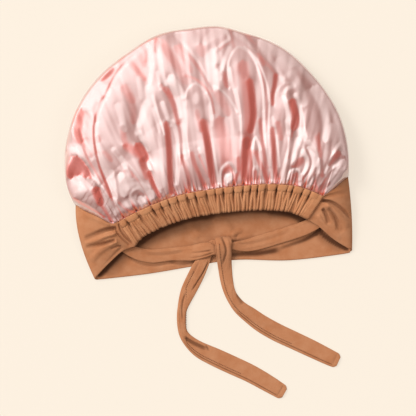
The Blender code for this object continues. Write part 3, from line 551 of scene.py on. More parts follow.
TIE_RIGHT = (
    (113.5, -69.0, 6.8, 11.0, 2.0),  # sewn in under the band's gathered end
    (104.0, -74.0, 5.8, 13.0, 2.0),
    (90.0, -80.0, 4.4, 14.0, 2.0),
    (68.0, -87.0, 3.4, 14.0, 2.0),
    (47.0, -93.3, 3.6, 13.5, 2.0),
    (34.0, -95.8, 4.8, 11.0, 2.4),
    (25.0, -95.6, 6.8, 8.0, 3.0),
    (17.0, -94.8, 7.3, 6.8, 2.8),  # through the loop of the left tie
    (9.5, -93.4, 6.6, 6.6, 2.8),
    (3.5, -93.2, 4.4, 6.8, 2.8),
    (0.0, -97.0, 3.7, 7.2, 2.6),  # and down behind it
    (-2.5, -104.0, 3.7, 11.0, 2.4),
    (-8.5, -116.0, 3.9, 15.0, 2.2),
    (-14.0, -127.5, 1.7, 16.0, 2.0),
    (-21.0, -142.0, 1.1, 15.0, 2.2),
    (-26.5, -158.0, 1.6, 10.0, 3.2),
    (-27.6, -170.0, 1.7, 9.0, 3.4),
    (-26.0, -182.0, 1.7, 9.0, 3.4),
    (-20.0, -191.0, 1.4, 12.0, 2.8),
    (-9.5, -199.5, 1.1, 16.0, 2.2),
    (4.0, -206.2, 1.0, 18.0, 2.0),
    (22.0, -214.5, 1.0, 18.5, 2.0),
    (41.0, -223.3, 1.0, 18.0, 2.0),
    (58.0, -232.8, 1.0, 17.2, 2.0),
    (71.0, -240.6, 1.0, 15.5, 2.0),
    (75.5, -243.2, 1.0, 14.5, 2.0),
)
TIE_ROUTE_STEPS = 2  # steps between two rows where the strap's turn is worked out
TIE_STEPS = 10  # lofted steps between two rows
TIE_SIDES = 60  # points over each side of its section
TIE_WIDTH = 18.0  # of the strap where it lies open
TIE_EDGE = 2.7  # power of the section's outline: 2 is an ellipse, more is squarer
TIE_END = 4.0  # over which its end is rounded
END_NARROWING = 0.35  # of its width, which the end loses
END_POWER = 2.2
TIE_CREASE_END = 0.2  # share of a crease's length over which it dies at each end
TIE_SHADE_START = 0.1  # a crease less deep than this gets no painted shade
TIE_SHADE = 0.65  # how dark its painted shade is, at most
FLOOR_GAP = 0.05  # under the straps
STEEP = 0.5  # a step over the surface shorter than this is one that goes straight up
SEAM_PLACE = 0.7  # of the half width, towards its lower edge
SEAM_WIDTH = 0.045  # of the half width
SEAM_DEPTH = 0.8
PADDING_PLACE = 0.13  # of the half width, from the seam to where the cloth beside it stands up
PADDING_WIDTH = 0.07
PADDING_RISE = 0.12
HEM = 4.8  # from its end to the hem's line
HEM_WIDTH = 0.45
HEM_SPAN = 0.8  # of the half width
HEM_FADE = 0.1
HEM_SEAM = 118.0  # from its end to where the seam comes up
SEAM_FADE = 12.0  # over which it comes up
STITCH_PLACE = 0.47  # of the half width, on the seam's side
STITCH_SPACING = 1.75
STITCH_START = 0.6
STITCH_SIZE = (1.25, 0.95, 1.3)  # along, across and up

# Creases of the ties in the view frame, as the crown's folds but in millimetres of height. A
# crease that goes in also gets painted shade.
# x1, y1, x2, y2, x3, y3, x4, y4, left, right, foot, head
LEFT_CREASES = (
    (221, 236, 225, 245, 226, 253, 222, 266, 0.8, 1.4, -0.8, -0.7),  # the knot's wrap
    (227, 238, 229, 248, 229, 258, 227, 272, 1.6, 1.6, 0.7, 0.3),
    (231, 242, 232, 250, 232, 258, 232, 266, 0.8, 0.8, -0.5, -0.2),
    (215, 238, 216, 246, 217, 254, 218, 262, 0.5, 0.5, -0.5, -0.4),
    (212, 243, 207, 241, 202, 242, 196, 243, 0.8, 0.8, -0.9, -0.2),  # into the knot
    (212, 250, 206, 251, 199, 252, 190, 253, 0.9, 0.9, -0.8, -0.2),
    (214, 252, 206, 255, 198, 257, 188, 258, 0.8, 0.8, -0.7, -0.2),
    (186, 250, 172, 253, 158, 254, 142, 253, 2.0, 2.0, -0.4, -0.3),
    (237, 293, 239, 297, 241, 300, 243, 305, 1.4, 2.2, -0.7, -0.5),  # where its tail turns
    (233, 285, 231, 293, 232, 301, 236, 309, 1.5, 3.0, 0.3, 0.2),
    (240, 312, 254, 322, 270, 326, 288, 332, 2.0, 3.0, -0.15, -0.15),
)
RIGHT_CREASES = (
    (209, 260, 204, 271, 198, 281, 191, 292, 0.7, 0.8, -1.0, -0.8),  # down from the knot
    (200, 260, 195, 270, 189, 280, 184, 292, 1.0, 2.0, -0.4, -0.2),
    (186, 292, 183, 301, 182, 311, 183, 321, 0.9, 0.9, -0.7, -0.5),
    (180, 300, 178, 315, 180, 330, 186, 344, 1.5, 1.5, 0.35, 0.3),
    (184, 336, 191, 341, 199, 345, 208, 349, 1.3, 2.6, -1.0, -0.7),  # where its tail turns
    (206, 345, 207, 347, 208, 349, 208, 351, 1.0, 1.0, -0.6, -0.6),
    (234, 243, 250, 243, 270, 238, 296, 229, 1.6, 1.6, -0.35, -0.2),
    (238, 249, 252, 247, 268, 243, 284, 238, 1.2, 1.2, 0.3, 0.2),
)
TIES = (
    # name, rows, creases, and from where to where across the view its stitches show
    ("left", TIE_LEFT, LEFT_CREASES, 214.0, 292.0),
    ("right", TIE_RIGHT, RIGHT_CREASES, 186.0, 242.0),
)

# Patterns of the cloth -------------------------------------------------------------------
DYE_PATCH = 25.0  # of the satin's uneven dye and handling
FLOAT_SPACING = 1.0  # really 0.25, drawn wider so that the floats show
FLOAT_LENGTH = 11.1
FLOAT_ROUGHNESS = (-0.04, 0.06)  # smoothest and roughest ones, from the setting
SHADE_SPLIT = 0.62  # of the painted shade: up to it the colour goes to the turned-away pink, past it to the darker gather pink
JERSEY_PATCH = 10.5  # of the jersey's uneven tone
NAP_GRAIN = 1.11  # really finer, drawn so that the nap shows
THREAD_TWIST = 0.5
WAVE_SCALE = 0.31  # a wave texture's bands are about this, divided by its scale, apart
WALE_HEIGHT = 0.35  # of the wales, to the nap


# Curves and grids ------------------------------------------------------------------------


def catmull_rom(rows, steps):
    """The table's rows as an array, with steps - 1 smooth rows put between each two."""
    rows = np.asarray(rows, float)
    padded = np.vstack([rows[:1], rows, rows[-1:]])
    t = (np.arange(steps) / steps)[None, :, None]
    a, b, c, d = (padded[k : len(rows) - 1 + k, None, :] for k in range(4))
    run = 2 * b + (c - a) * t
    run = run + (2 * a - 5 * b + 4 * c - d) * t**2
    run = run + (3 * b - a - 3 * c + d) * t**3
    return np.vstack([(run / 2).reshape(-1, rows.shape[1]), rows[-1:]])


def arc_length(points):
    """How far along a line of points each one is."""
    steps = np.linalg.norm(np.diff(points, axis=0), axis=1)
    return np.concatenate([[0.0], np.cumsum(steps)])


def spread_evenly(points, count):
    """count + 1 points at equal steps along a line of points."""
    run = arc_length(points)
    want = np.linspace(0.0, run[-1], count + 1)
    return np.stack([np.interp(want, run, points[:, k]) for k in range(3)], axis=1)


def smooth_step(t):
    """0 up to 0, 1 from 1 on, and a smooth rise between."""
    t = np.clip(t, 0.0, 1.0)
    return t * t * (3 - 2 * t)


def unit(vectors):
    """The same directions with length 1."""
    return vectors / np.maximum(np.linalg.norm(vectors, axis=-1, keepdims=True), 1e-9)


def to_pattern(across, down):
    """A place in the camera's view as X and Y of the pattern frame."""
    return np.stack([VIEW_CORNER[0] + across, VIEW_CORNER[1] - down], axis=-1)


def to_metres(points):
    """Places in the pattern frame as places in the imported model's frame."""
    return (np.asarray(points, float) - MIDDLE) * MM


def deselect_all():
    """Goes back to object mode with nothing selected."""
    if bpy.context.mode != "OBJECT":
        bpy.ops.object.mode_set(mode="OBJECT")
    bpy.ops.object.select_all(action="DESELECT")


def beside_line(line, spots):
    """How far each spot is from a line of points, how far to its left, and its share of the
    way along it."""
    best = np.full(len(spots), np.inf)
    side = np.zeros(len(spots))
    share = np.zeros(len(spots))
    for k in range(len(line) - 1):
        step = line[k + 1] - line[k]
        away = spots - line[k]
        t = np.clip((away @ step) / (step @ step), 0.0, 1.0)
        off = away - t[:, None] * step
        distance = np.hypot(off[:, 0], off[:, 1])
        closer = distance < best
        best[closer] = distance[closer]
        cross = step[0] * away[:, 1] - step[1] * away[:, 0]
        side[closer] = cross[closer] / np.linalg.norm(step)
        share[closer] = (k + t[closer]) / (len(line) - 1)
    return best, side, share


def fold_relief(places, folds, taper=None):
    """How far the folds raise the cloth at each of many places in the pattern frame. taper
    is the share of a fold's length over which it dies off at each end. Without it a wide
    fold narrows at its ends, and a narrow one has round ends."""
    relief = np.zeros(len(places))
    for fold in folds:
        line = np.array(fold[:8], float).reshape(4, 2)
        line = catmull_rom(to_pattern(line[:, 0], line[:, 1]), FOLD_STEPS)
        left, right, foot, head = fold[8:]
        widest = max(left, right)
        end = taper
        if taper is None:
            end = FOLD_END * widest if widest > NARROW_FOLD else 0.0
            end = min(end / arc_length(line)[-1], 0.5)
        reach = FOLD_REACH * widest
        low, high = line.min(0) - reach, line.max(0) + reach
        near = np.flatnonzero(np.all((places > low) & (places < high), axis=1))
        if not len(near):
            continue
        best, side, share = beside_line(line, places[near])
        # At a fold's line both sides meet, so the width goes smoothly from one to the other.
        lean = side / np.maximum(best, 1e-6)
        width = (left + right) / 2 + (left - right) / 2 * lean
        width = width * (FOOT_WIDTH + WIDTH_GAIN * share)
        if end and taper is None:
            tip = np.clip(1 - np.minimum(share, 1 - share) / end, 0.0, 1.0)
            width = width * np.sqrt(np.maximum(1 - tip**2, BLUNT_TIP))
        bell = np.exp(-((best / width) ** FOLD_POWER))
        if taper:
            bell = bell * smooth_step(share / end) * smooth_step((1 - share) / end)
        relief[near] += (foot + (head - foot) * share) * bell
    return relief


def nearest_on(line, spots):
    """How far each spot is from a line of points in plan, and how high the line is there."""
    best = np.full(spots.shape[:-1], np.inf)
    height = np.zeros(spots.shape[:-1])
    for point in line:
        distance = np.hypot(spots[..., 0] - point[0], spots[..., 1] - point[1])
        height = np.where(distance < best, point[2], height)
        best = np.minimum(best, distance)
    return best, height


def raised_along(slope):
    """Relief on a grid of RELIEF_STEP, whose slope along its rows is as near as can be to the
    one given, while it stays smooth from row to row and swells nowhere."""
    wave_s, wave_t = (2 * np.pi * np.fft.fftfreq(count, RELIEF_STEP) for count in slope.shape)
    wave_s, wave_t = wave_s[:, None], wave_t[None, :]
    weight = wave_s**2 + SIDE_STIFFNESS * wave_t**2 + 1 / DRIFT_LENGTH**2
    soften = np.exp(-(wave_s**2 + wave_t**2) * FOLD_SOFTNESS**2 / 2)
    return np.fft.ifft2(-1j * wave_s * np.fft.fft2(slope) * soften / weight).real


def slope_relief(places, folds, mouth):
    """Relief whose slope along the light is what the folds' table gives: up where a fold
    faces the light, down where it turns away. The slope comes second."""
    turn = math.radians(LIGHT_TURN)
    away = np.array((math.cos(turn), -math.sin(turn)))
    aside = np.array((math.sin(turn), math.cos(turn)))
    flat = places.reshape(-1, 2)
    s, t = flat @ away, flat @ aside
    low_s, low_t = s.min() - RELIEF_MARGIN, t.min() - RELIEF_MARGIN
    count_s = int((s.max() + RELIEF_MARGIN - low_s) / RELIEF_STEP)
    count_t = int((t.max() + RELIEF_MARGIN - low_t) / RELIEF_STEP)
    grid_s, grid_t = np.meshgrid(
        low_s + RELIEF_STEP * np.arange(count_s),
        low_t + RELIEF_STEP * np.arange(count_t),
        indexing="ij",
    )
    spots = grid_s[..., None] * away + grid_t[..., None] * aside
    chart = fold_relief(spots.reshape(-1, 2), folds).reshape(count_s, count_t)
    chart = np.where(chart > 0, SLOPE_UNIT, SHADE_UNIT) * chart
    # The dome under the folds already faces the light on one side and not on the other.
    from_edge = DOME_RADIUS - np.linalg.norm(spots - CROWN_CENTRE[:2], axis=-1)
    near_mouth = nearest_on(mouth[::MOUTH_SKIP], spots)
    dome = dome_height(*near_mouth, np.maximum(from_edge, RIM_REACH))
    dome = np.clip(np.gradient(dome, RELIEF_STEP, axis=0), -DOME_STEEP, DOME_STEEP)
    total = dome + chart
    total = np.where(total < 0, -SLOPE_LOW * np.tanh(-total / SLOPE_LOW), total)
    total = np.where(total > 0, SLOPE_HIGH * np.tanh(total / SLOPE_HIGH), total)
    slope = (total - dome) * (1 - np.exp(-np.abs(chart) / CHART_START))
    # Both are read from the grid, between its points.
    u, v = (s - low_s) / RELIEF_STEP, (t - low_t) / RELIEF_STEP
    i, j = u.astype(int), v.astype(int)
    u, v = u - i, v - j
    found = []
    for values in (raised_along(slope), slope):
        near = values[i, j] * (1 - u) + values[i + 1, j] * u
        far = values[i, j + 1] * (1 - u) + values[i + 1, j + 1] * u
        found.append((near * (1 - v) + far * v).reshape(places.shape[:-1]))
    return found


def sheet_grid(name, points, uv, close=False, **values):
    """A grid primitive whose vertices are laid at rows x columns points in millimetres.
    With close, its last column is sewn to its first. values become point attributes."""
    rows, columns = points.shape[:2]
    deselect_all()
    bpy.ops.mesh.primitive_grid_add(x_subdivisions=columns - 1, y_subdivisions=rows - 1, size=1.0)
    piece = bpy.context.active_object
    piece.name = piece.data.name = name
    mesh = piece.data
    if len(mesh.vertices) != rows * columns:
        raise RuntimeError(f"{name}: the grid has {len(mesh.vertices)} vertices")
    mesh.vertices.foreach_set("co", to_metres(points).astype(np.float32).ravel())
    corners = np.empty(len(mesh.loops), np.int32)
    mesh.loops.foreach_get("vertex_index", corners)
    layer = mesh.uv_layers.active or mesh.uv_layers.new(name="cloth")
    layer.name = "cloth"
    flat = np.asarray(uv, float).reshape(-1, 2) * MM
    layer.data.foreach_set("uv", flat[corners].astype(np.float32).ravel())
    for kind, value in values.items():
        field = mesh.attributes.new(kind, "FLOAT", "POINT")
        field.data.foreach_set("value", np.asarray(value, np.float32).ravel())
    mesh.update()
    bpy.ops.object.mode_set(mode="EDIT")
    bpy.ops.mesh.select_all(action="SELECT")
    bpy.ops.mesh.remove_doubles(threshold=MERGE_DISTANCE)
    if close:
        bpy.ops.mesh.select_all(action="DESELECT")
        bpy.ops.mesh.select_mode(type="EDGE")
        bpy.ops.mesh.select_non_manifold(extend=False)
        bpy.ops.mesh.edge_face_add()
        bpy.ops.mesh.select_all(action="SELECT")
        bpy.ops.mesh.normals_make_consistent(inside=False)
    bpy.ops.object.mode_set(mode="OBJECT")
    bpy.ops.object.shade_smooth()
    return piece


def give_wall(piece, wall, inner_share=None):
    """Thickens a sheet's outer face towards the inside, and closes its edges. With
    inner_share, the inner wall keeps only that share of its faces."""
    deselect_all()
    piece.select_set(True)
    bpy.context.view_layer.objects.active = piece
    solidify = piece.modifiers.new("wall", "SOLIDIFY")
    solidify.thickness = wall * MM
    solidify.offset = -1.0
    inner = piece.vertex_groups.new(name="inner")
    solidify.shell_vertex_group = inner.name
    bpy.ops.object.modifier_apply(modifier=solidify.name)
    places = np.empty(len(piece.data.vertices) * 3, np.float32)
    piece.data.vertices.foreach_get("co", places)
    places[2::3] = np.maximum(places[2::3], 0.0)
    piece.data.vertices.foreach_set("co", places)
    piece.data.update()
    if inner_share is None:
        piece.vertex_groups.clear()
        return
    thin = piece.modifiers.new("thin", "DECIMATE")
    thin.vertex_group = inner.name
    thin.ratio = (1 + inner_share) / 2
    bpy.ops.object.modifier_apply(modifier=thin.name)
    piece.vertex_groups.clear()


def dress(piece, material, slot, *nodes):
    """Gives a finished piece its material, and puts it on the body in place of nodes."""
    piece.data.materials.clear()
    piece.data.materials.append(material)
    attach(piece, BODY)
    if nodes:
        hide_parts(*nodes)
    return piece


# Materials -------------------------------------------------------------------------------


def linear(colour, alpha=1.0):
    """An sRGB hex colour as linear RGBA."""
    parts = [int(colour[k : k + 2], 16) / 255 for k in (1, 3, 5)]
    parts = [c / 12.92 if c <= 0.04045 else ((c + 0.055) / 1.055) ** 2.4 for c in parts]
    return (*parts, alpha)


def add_node(tree, kind, settings=None, **inputs):
    """Adds a node. A socket among its inputs is linked, anything else is set. An input's
    name is written with underscores, and a number after two of them picks its place."""
    made = tree.nodes.new(kind)
    for name, value in (settings or {}).items():
        setattr(made, name, value)
    for name, value in inputs.items():
        name, _, place = name.partition("__")
        socket = made.inputs[int(place)] if place else made.inputs[name.replace("_", " ")]
        if isinstance(value, bpy.types.NodeSocket):
            tree.links.new(value, socket)
        else:
            socket.default_value = value
    return made


def new_material(name):
    """A new material and its nodes, or one that is there already and None."""
    material = bpy.data.materials.get(name)
    if material:
        return material, None
    material = bpy.data.materials.new(name)
    material.use_nodes = True
    return material, material.node_tree


def satin_dyes_and_painted_light(tree, settings):
    """The satin's colour: two pinks in soft patches, plus painted highlight and painted shade."""
    place = add_node(tree, "ShaderNodeTexCoord")
    mottle = add_node(
        tree,
        "ShaderNodeTexNoise",
        Vector=place.outputs["Object"],
        Scale=1 / (DYE_PATCH * MM),
        Detail=3.0,
    )
    shade = add_node(
        tree,
        "ShaderNodeMix",
        {"data_type": "RGBA"},
        Factor__0=mottle.outputs["Fac"],
        A__6=linear(settings.colour_deep),
        B__7=linear(settings.colour_light),
    )
    # Painted highlight: where a fold faces the light the colour goes paler. Painted shade:
    # where it turns away from the light it goes deeper, and in the tight gathers darker still.
    crest = add_node(tree, "ShaderNodeAttribute", {"attribute_name": "crest"})
    hollow = add_node(tree, "ShaderNodeAttribute", {"attribute_name": "hollow"})
    for source, low, high, colour in (
        (crest, 0.0, 1.0, settings.colour_crest_highlight),
        (hollow, 0.0, SHADE_SPLIT, settings.colour_fold_shade),
        (hollow, SHADE_SPLIT, 1.0, settings.colour_gather_shade),
    ):
        share = add_node(
            tree, "ShaderNodeMapRange", Value=source.outputs["Fac"], From_Min=low, From_Max=high
        )
        shade = add_node(
            tree,
            "ShaderNodeMix",
            {"data_type": "RGBA"},
            Factor__0=share.outputs["Result"],
            A__6=shade.outputs[2],
            B__7=linear(colour),
        )
    return shade.outputs[2]


def satin_floats(tree, settings):
    """The satin's roughness and relief: floats run up the cloth and break its gloss into fine
    lines."""
    cloth = add_node(tree, "ShaderNodeUVMap", {"uv_map": "cloth"})
    stretch = add_node(
        tree,
        "ShaderNodeMapping",
        Vector=cloth.outputs["UV"],
        Scale=(1 / (FLOAT_SPACING * MM), 1 / (FLOAT_LENGTH * MM), 1.0),
    )
    floats = add_node(
        tree, "ShaderNodeTexNoise", Vector=stretch.outputs["Vector"], Scale=1.0, Detail=2.0
    )
    smoothest, roughest = FLOAT_ROUGHNESS
    rough = add_node(
        tree,
        "ShaderNodeMapRange",
        Value=floats.outputs["Fac"],
        To_Min=settings.roughness + smoothest,
        To_Max=settings.roughness + roughest,
    )
    bump = add_node(
        tree, "ShaderNodeBump", Height=floats.outputs["Fac"], Strength=0.06, Distance=0.3 * MM
    )
    return rough.outputs["Result"], bump.outputs["Normal"]


def polyester_satin(settings):
    """Polyester satin, woven with long floats: bright broad gloss over a soft pink."""
    material, tree = new_material("polyester_satin_woven")
    if tree is None:
        return material
    shader = tree.nodes["Principled BSDF"]
    roughness, normal = satin_floats(tree, settings)
    tree.links.new(satin_dyes_and_painted_light(tree, settings), shader.inputs["Base Color"])
    tree.links.new(roughness, shader.inputs["Roughness"])
    tree.links.new(normal, shader.inputs["Normal"])
    shader.inputs["Metallic"].default_value = settings.lustre
    shader.inputs["IOR"].default_value = 1.56
    shader.inputs["Specular IOR Level"].default_value = 0.8
    shader.inputs["Coat Weight"].default_value = settings.coat
    shader.inputs["Coat Roughness"].default_value = 0.15
    shader.inputs["Coat IOR"].default_value = 3.0
    shader.inputs["Sheen Weight"].default_value = 0.25
    shader.inputs["Sheen Roughness"].default_value = 0.4
    return material


def jersey_tones_and_painted_shade(tree, light, deep, settings):
    """The jersey's colour: two tones in small patches, with painted shade deep in its gathers
    and creases and painted shadow where another piece lies on it."""
    place = add_node(tree, "ShaderNodeTexCoord")
    mottle = add_node(
        tree,
        "ShaderNodeTexNoise",
        Vector=place.outputs["Object"],
        Scale=1 / (JERSEY_PATCH * MM),
        Detail=5.0,
        Roughness=0.6,
    )
    spread = add_node(
        tree, "ShaderNodeMapRange", Value=mottle.outputs["Fac"], From_Min=0.3, From_Max=0.7
    )
    blend = add_node(
        tree,
        "ShaderNodeMix",
        {"data_type": "RGBA"},
        Factor__0=spread.outputs["Result"],
        A__6=linear(deep),
        B__7=linear(light),
    )
    hollow = add_node(tree, "ShaderNodeAttribute", {"attribute_name": "hollow"})
    shade = add_node(
        tree,
        "ShaderNodeMix",
        {"data_type": "RGBA"},
        Factor__0=hollow.outputs["Fac"],
        A__6=blend.outputs[2],
        B__7=linear(settings.colour_hollow),
    )
    return shade.outputs[2]


def jersey_knit(tree, settings):
    """The jersey's relief: a brushed nap over wales, which are really 0.5 mm apart and drawn
    wider so that they show."""
    cloth = add_node(tree, "ShaderNodeUVMap", {"uv_map": "cloth"})
    wales = add_node(
        tree,
        "ShaderNodeTexWave",
        {"bands_direction": "X"},
        Vector=cloth.outputs["UV"],
        Scale=WAVE_SCALE / settings.wale_spacing,
        Distortion=1.5,
        Detail=2.0,
        Detail_Scale=2.0,
    )
    place = add_node(tree, "ShaderNodeTexCoord")
    nap = add_node(
        tree,
        "ShaderNodeTexNoise",
        Vector=place.outputs["Object"],
        Scale=1 / (NAP_GRAIN * MM),
        Detail=4.0,
    )
    both = add_node(
        tree,
        "ShaderNodeMath",
        {"operation": "MULTIPLY_ADD"},
        Value__0=wales.outputs["Fac"],
        Value__1=WALE_HEIGHT,
        Value__2=nap.outputs["Fac"],
    )
    bump = add_node(
        tree, "ShaderNodeBump", Height=both.outputs["Value"], Strength=0.35, Distance=0.4 * MM
    )
    return bump.outputs["Normal"]


def brushed_jersey(name, light, deep, settings):
    """Cotton jersey, circular knitted and brushed: matt, with fine wales and a soft nap."""
    material, tree = new_material(name)
    if tree is None:
        return material
    shader = tree.nodes["Principled BSDF"]
    tree.links.new(jersey_tones_and_painted_shade(tree, light, deep, settings), shader.inputs["Base Color"])
    tree.links.new(jersey_knit(tree, settings), shader.inputs["Normal"])
    shader.inputs["Roughness"].default_value = 0.85
    shader.inputs["Specular IOR Level"].default_value = 0.25
    shader.inputs["Sheen Weight"].default_value = settings.nap
    shader.inputs["Sheen Roughness"].default_value = 0.5
    shader.inputs["Sheen Tint"].default_value = linear("#F0C8A8")
    return material


def spun_thread(name, settings):
    """Spun polyester sewing thread, a tone darker than the jersey it holds."""
    material, tree = new_material(name)
    if tree is None:
        return material
    shader = tree.nodes["Principled BSDF"]
    place = add_node(tree, "ShaderNodeTexCoord")
    # The twist shows as a change of tone along the thread.
    twist = add_node(
        tree,
        "ShaderNodeTexNoise",
        Vector=place.outputs["Object"],
        Scale=1 / (THREAD_TWIST * MM),
        Detail=1.0,
    )
    blend = add_node(
        tree,
        "ShaderNodeMix",
        {"data_type": "RGBA"},
        Factor__0=twist.outputs["Fac"],
        A__6=linear(settings.thread_deep),
        B__7=linear(settings.thread_light),
    )
    tree.links.new(blend.outputs[2], shader.inputs["Base Color"])
    shader.inputs["Roughness"].default_value = 0.6
    return material


# Settings --------------------------------------------------------------------------------


class CrownSettings(bpy.types.PropertyGroup):
    """The satin's dyes, painted shade and highlight colours, folds and gloss"""

    colour_light: bpy.props.StringProperty(
        name="Light pink", description="sRGB hex of the satin's light dye", default="#B57F74"
    )
    colour_deep: bpy.props.StringProperty(
        name="Deep pink", description="sRGB hex of the satin's deep dye", default="#AB6B5F"
    )
    # Painted shade: the deeper pink where a fold turns away from the light.
    colour_fold_shade: bpy.props.StringProperty(
        name="Weft pink", description="sRGB hex of the satin's weft", default="#DD5A45"
    )
    # Painted highlight: the paler pink where a fold faces the light.
    colour_crest_highlight: bpy.props.StringProperty(
        name="Crest pink", description="sRGB hex of the satin on a fold's crest", default="#C49B92"
    )
    # Painted shade: the darkest pink, deep in the gathers and on the steepest turned-away folds.
    colour_gather_shade: bpy.props.StringProperty(
        name="Gather pink", description="sRGB hex deep in the gathers", default="#7A3226"
    )
    fold_height: bpy.props.FloatProperty(
        name="Fold height", description="Height of the charted folds, as a share", default=1.0
    )
    roughness: bpy.props.FloatProperty(
        name="Roughness", description="Roughness of the satin's floats", default=0.36
    )
    lustre: bpy.props.FloatProperty(
        name="Lustre", description="Share of the light that the floats mirror", default=0.15
    )
    coat: bpy.props.FloatProperty(
        name="Gloss", description="Weight of the pressed gloss over the floats", default=1.0
    )


class JerseySettings(bpy.types.PropertyGroup):
    """The jersey's, the casing's painted-lighter and the thread's tones, the knit and the nap"""

    colour_light: bpy.props.StringProperty(
        name="Light camel", description="sRGB hex of the jersey's light tone", default="#A77250"
    )
    colour_deep: bpy.props.StringProperty(
        name="Deep camel", description="sRGB hex of the jersey's deep tone", default="#9C6340"
    )
    # Painted light: the casing's tones are the jersey's made lighter, for the light its tilted
    # front misses.
    casing_lit_light: bpy.props.StringProperty(
        name="Light casing", description="sRGB hex of the casing's light tone", default="#B67F59"
    )
    casing_lit_deep: bpy.props.StringProperty(
        name="Deep casing", description="sRGB hex of the casing's deep tone", default="#A66B46"
    )
    # Painted shade: the colour the jersey goes to in its creases and gaps and under other pieces.
    colour_hollow: bpy.props.StringProperty(
        name="Shaded camel", description="sRGB hex of the jersey in deep gathers", default="#40200E"
    )
    thread_light: bpy.props.StringProperty(
        name="Light thread", description="sRGB hex of the thread's light tone", default="#5E3219"
    )
    thread_deep: bpy.props.StringProperty(
        name="Deep thread", description="sRGB hex of the thread's deep tone", default="#371A0B"
    )
    wale_spacing: bpy.props.FloatProperty(
        name="Wale spacing",
        description="Distance between two ribs of the knit, as drawn",
        default=0.001,
        subtype="DISTANCE",
        unit="LENGTH",
    )
    nap: bpy.props.FloatProperty(
        name="Nap", description="How much light the brushed nap catches", default=0.15
    )


class StageSettings(bpy.types.PropertyGroup):
    """The floor and what the camera sees"""

    floor_colour: bpy.props.StringProperty(
        name="Floor colour", description="sRGB hex of the floor", default="#736D65"
    )
    floor_glow: bpy.props.FloatProperty(
        name="Floor glow",
        description="Light that the floor gives, which thins the shadows on it",
        default=4.2,
    )
    camera_distance: bpy.props.FloatProperty(
        name="Camera distance",
        description="Height of the camera over the floor",
        default=3.0,
        subtype="DISTANCE",
        unit="LENGTH",
    )
    view_size: bpy.props.FloatProperty(
        name="View size",
        description="Width of what the camera sees at the bonnet",
        default=VIEW_SIZE * MM,
        subtype="DISTANCE",
        unit="LENGTH",
    )


# Stage -----------------------------------------------------------------------------------

SOFTBOX_ROWS = (
    # name, place in metres, size in metres, watts
    ("softbox_left", (-3.6, 2.4, 4.2), (2.2, 2.2), 270.0),
    ("softbox_right", (3.4, -1.2, 4.2), (3.0, 3.0), 84.0),
)
DOME_LIGHT = (-0.60, 0.38, 0.70)  # the way to the bright side of the dome
DOME_STRENGTH = 2.35
# How far round from the dim side, as the cosine to DOME_LIGHT, and the grey there.
DOME_STOPS = ((-1.0, 0.02), (0.0, 0.07), (0.5, 0.21), (0.75, 0.45), (0.9, 0.8), (1.0, 1.0))
FLOOR_SIZE = 6.0  # metres
SENSOR_WIDTH = 36.0
CAMERA_CLIP = (0.05, 20.0)  # metres


def area_light(name, place, size, watts):
    """A soft rectangular light that faces the bonnet."""
    deselect_all()
    bpy.ops.object.light_add(type="AREA", location=place)
    light = bpy.context.active_object
    light.name = name
    light.data.shape = "RECTANGLE"
    light.data.size, light.data.size_y = size
    light.data.energy = watts
    direction = -light.location
    light.rotation_mode = "QUATERNION"
    light.rotation_quaternion = direction.to_track_quat("-Z", "Y")
    light.visible_glossy = False  # the satin mirrors the dome alone
    return light


def soft_dome(world):
    """A studio dome that is bright on the light's side and dim on the other."""
    world = world or bpy.data.worlds.new("studio")
    world.use_nodes = True
    tree = world.node_tree
    background = tree.nodes["Background"]
    place = add_node(tree, "ShaderNodeTexCoord")
    facing = add_node(
        tree,
        "ShaderNodeVectorMath",
        {"operation": "DOT_PRODUCT"},
        Vector__0=place.outputs["Generated"],
        Vector__1=DOME_LIGHT,
    )
    share = add_node(
        tree, "ShaderNodeMapRange", Value=facing.outputs["Value"], From_Min=-1.0, From_Max=1.0
    )
    ramp = add_node(tree, "ShaderNodeValToRGB", Fac=share.outputs["Result"])
    stops = ramp.color_ramp.elements
    while len(stops) < len(DOME_STOPS):
        stops.new(0.5)
    for stop, (where, grey) in zip(stops, DOME_STOPS):
        stop.position = (where + 1) / 2
        stop.color = (grey, grey, grey, 1.0)
    tree.links.new(ramp.outputs["Color"], background.inputs["Color"])
    background.inputs["Strength"].default_value = DOME_STRENGTH
    return world


class OBJECT_OT_bonnet_stage(bpy.types.Operator):
    """Adds the floor, the soft lights and the camera straight above the bonnet"""

    bl_idname = "object.bonnet_stage"
    bl_label = "Stage"

    def execute(self, context):
        settings = context.scene.bonnet_stage
        deselect_all()
        bpy.ops.mesh.primitive_plane_add(size=FLOOR_SIZE)
        floor = context.active_object
        floor.name = "floor"
        material, _ = new_material("floor_paper_matt")
        shader = material.node_tree.nodes["Principled BSDF"]
        shader.inputs["Base Color"].default_value = linear(settings.floor_colour)
        shader.inputs["Emission Color"].default_value = linear(settings.floor_colour)
        shader.inputs["Emission Strength"].default_value = settings.floor_glow
        shader.inputs["Roughness"].default_value = 0.9
        shader.inputs["Specular IOR Level"].default_value = 0.1
        floor.data.materials.append(material)
        for name, place, size, watts in SOFTBOX_ROWS:
            area_light(name, place, size, watts)
        context.scene.world = soft_dome(context.scene.world)
        context.scene.view_settings.view_transform = "Standard"
        deselect_all()
        middle = to_pattern(VIEW_SIZE / 2, VIEW_SIZE / 2) - MIDDLE[:2]
        spot = (middle[0] * MM, middle[1] * MM, settings.camera_distance)
        bpy.ops.object.camera_add(location=spot, rotation=(0.0, 0.0, 0.0))
        camera = context.active_object
        camera.name = "camera"
        camera.data.sensor_width = SENSOR_WIDTH
        camera.data.lens = SENSOR_WIDTH * settings.camera_distance / settings.view_size
        camera.data.clip_start, camera.data.clip_end = CAMERA_CLIP
        context.scene.camera = camera
        return {"FINISHED"}


# Ties ------------------------------------------------------------------------------------


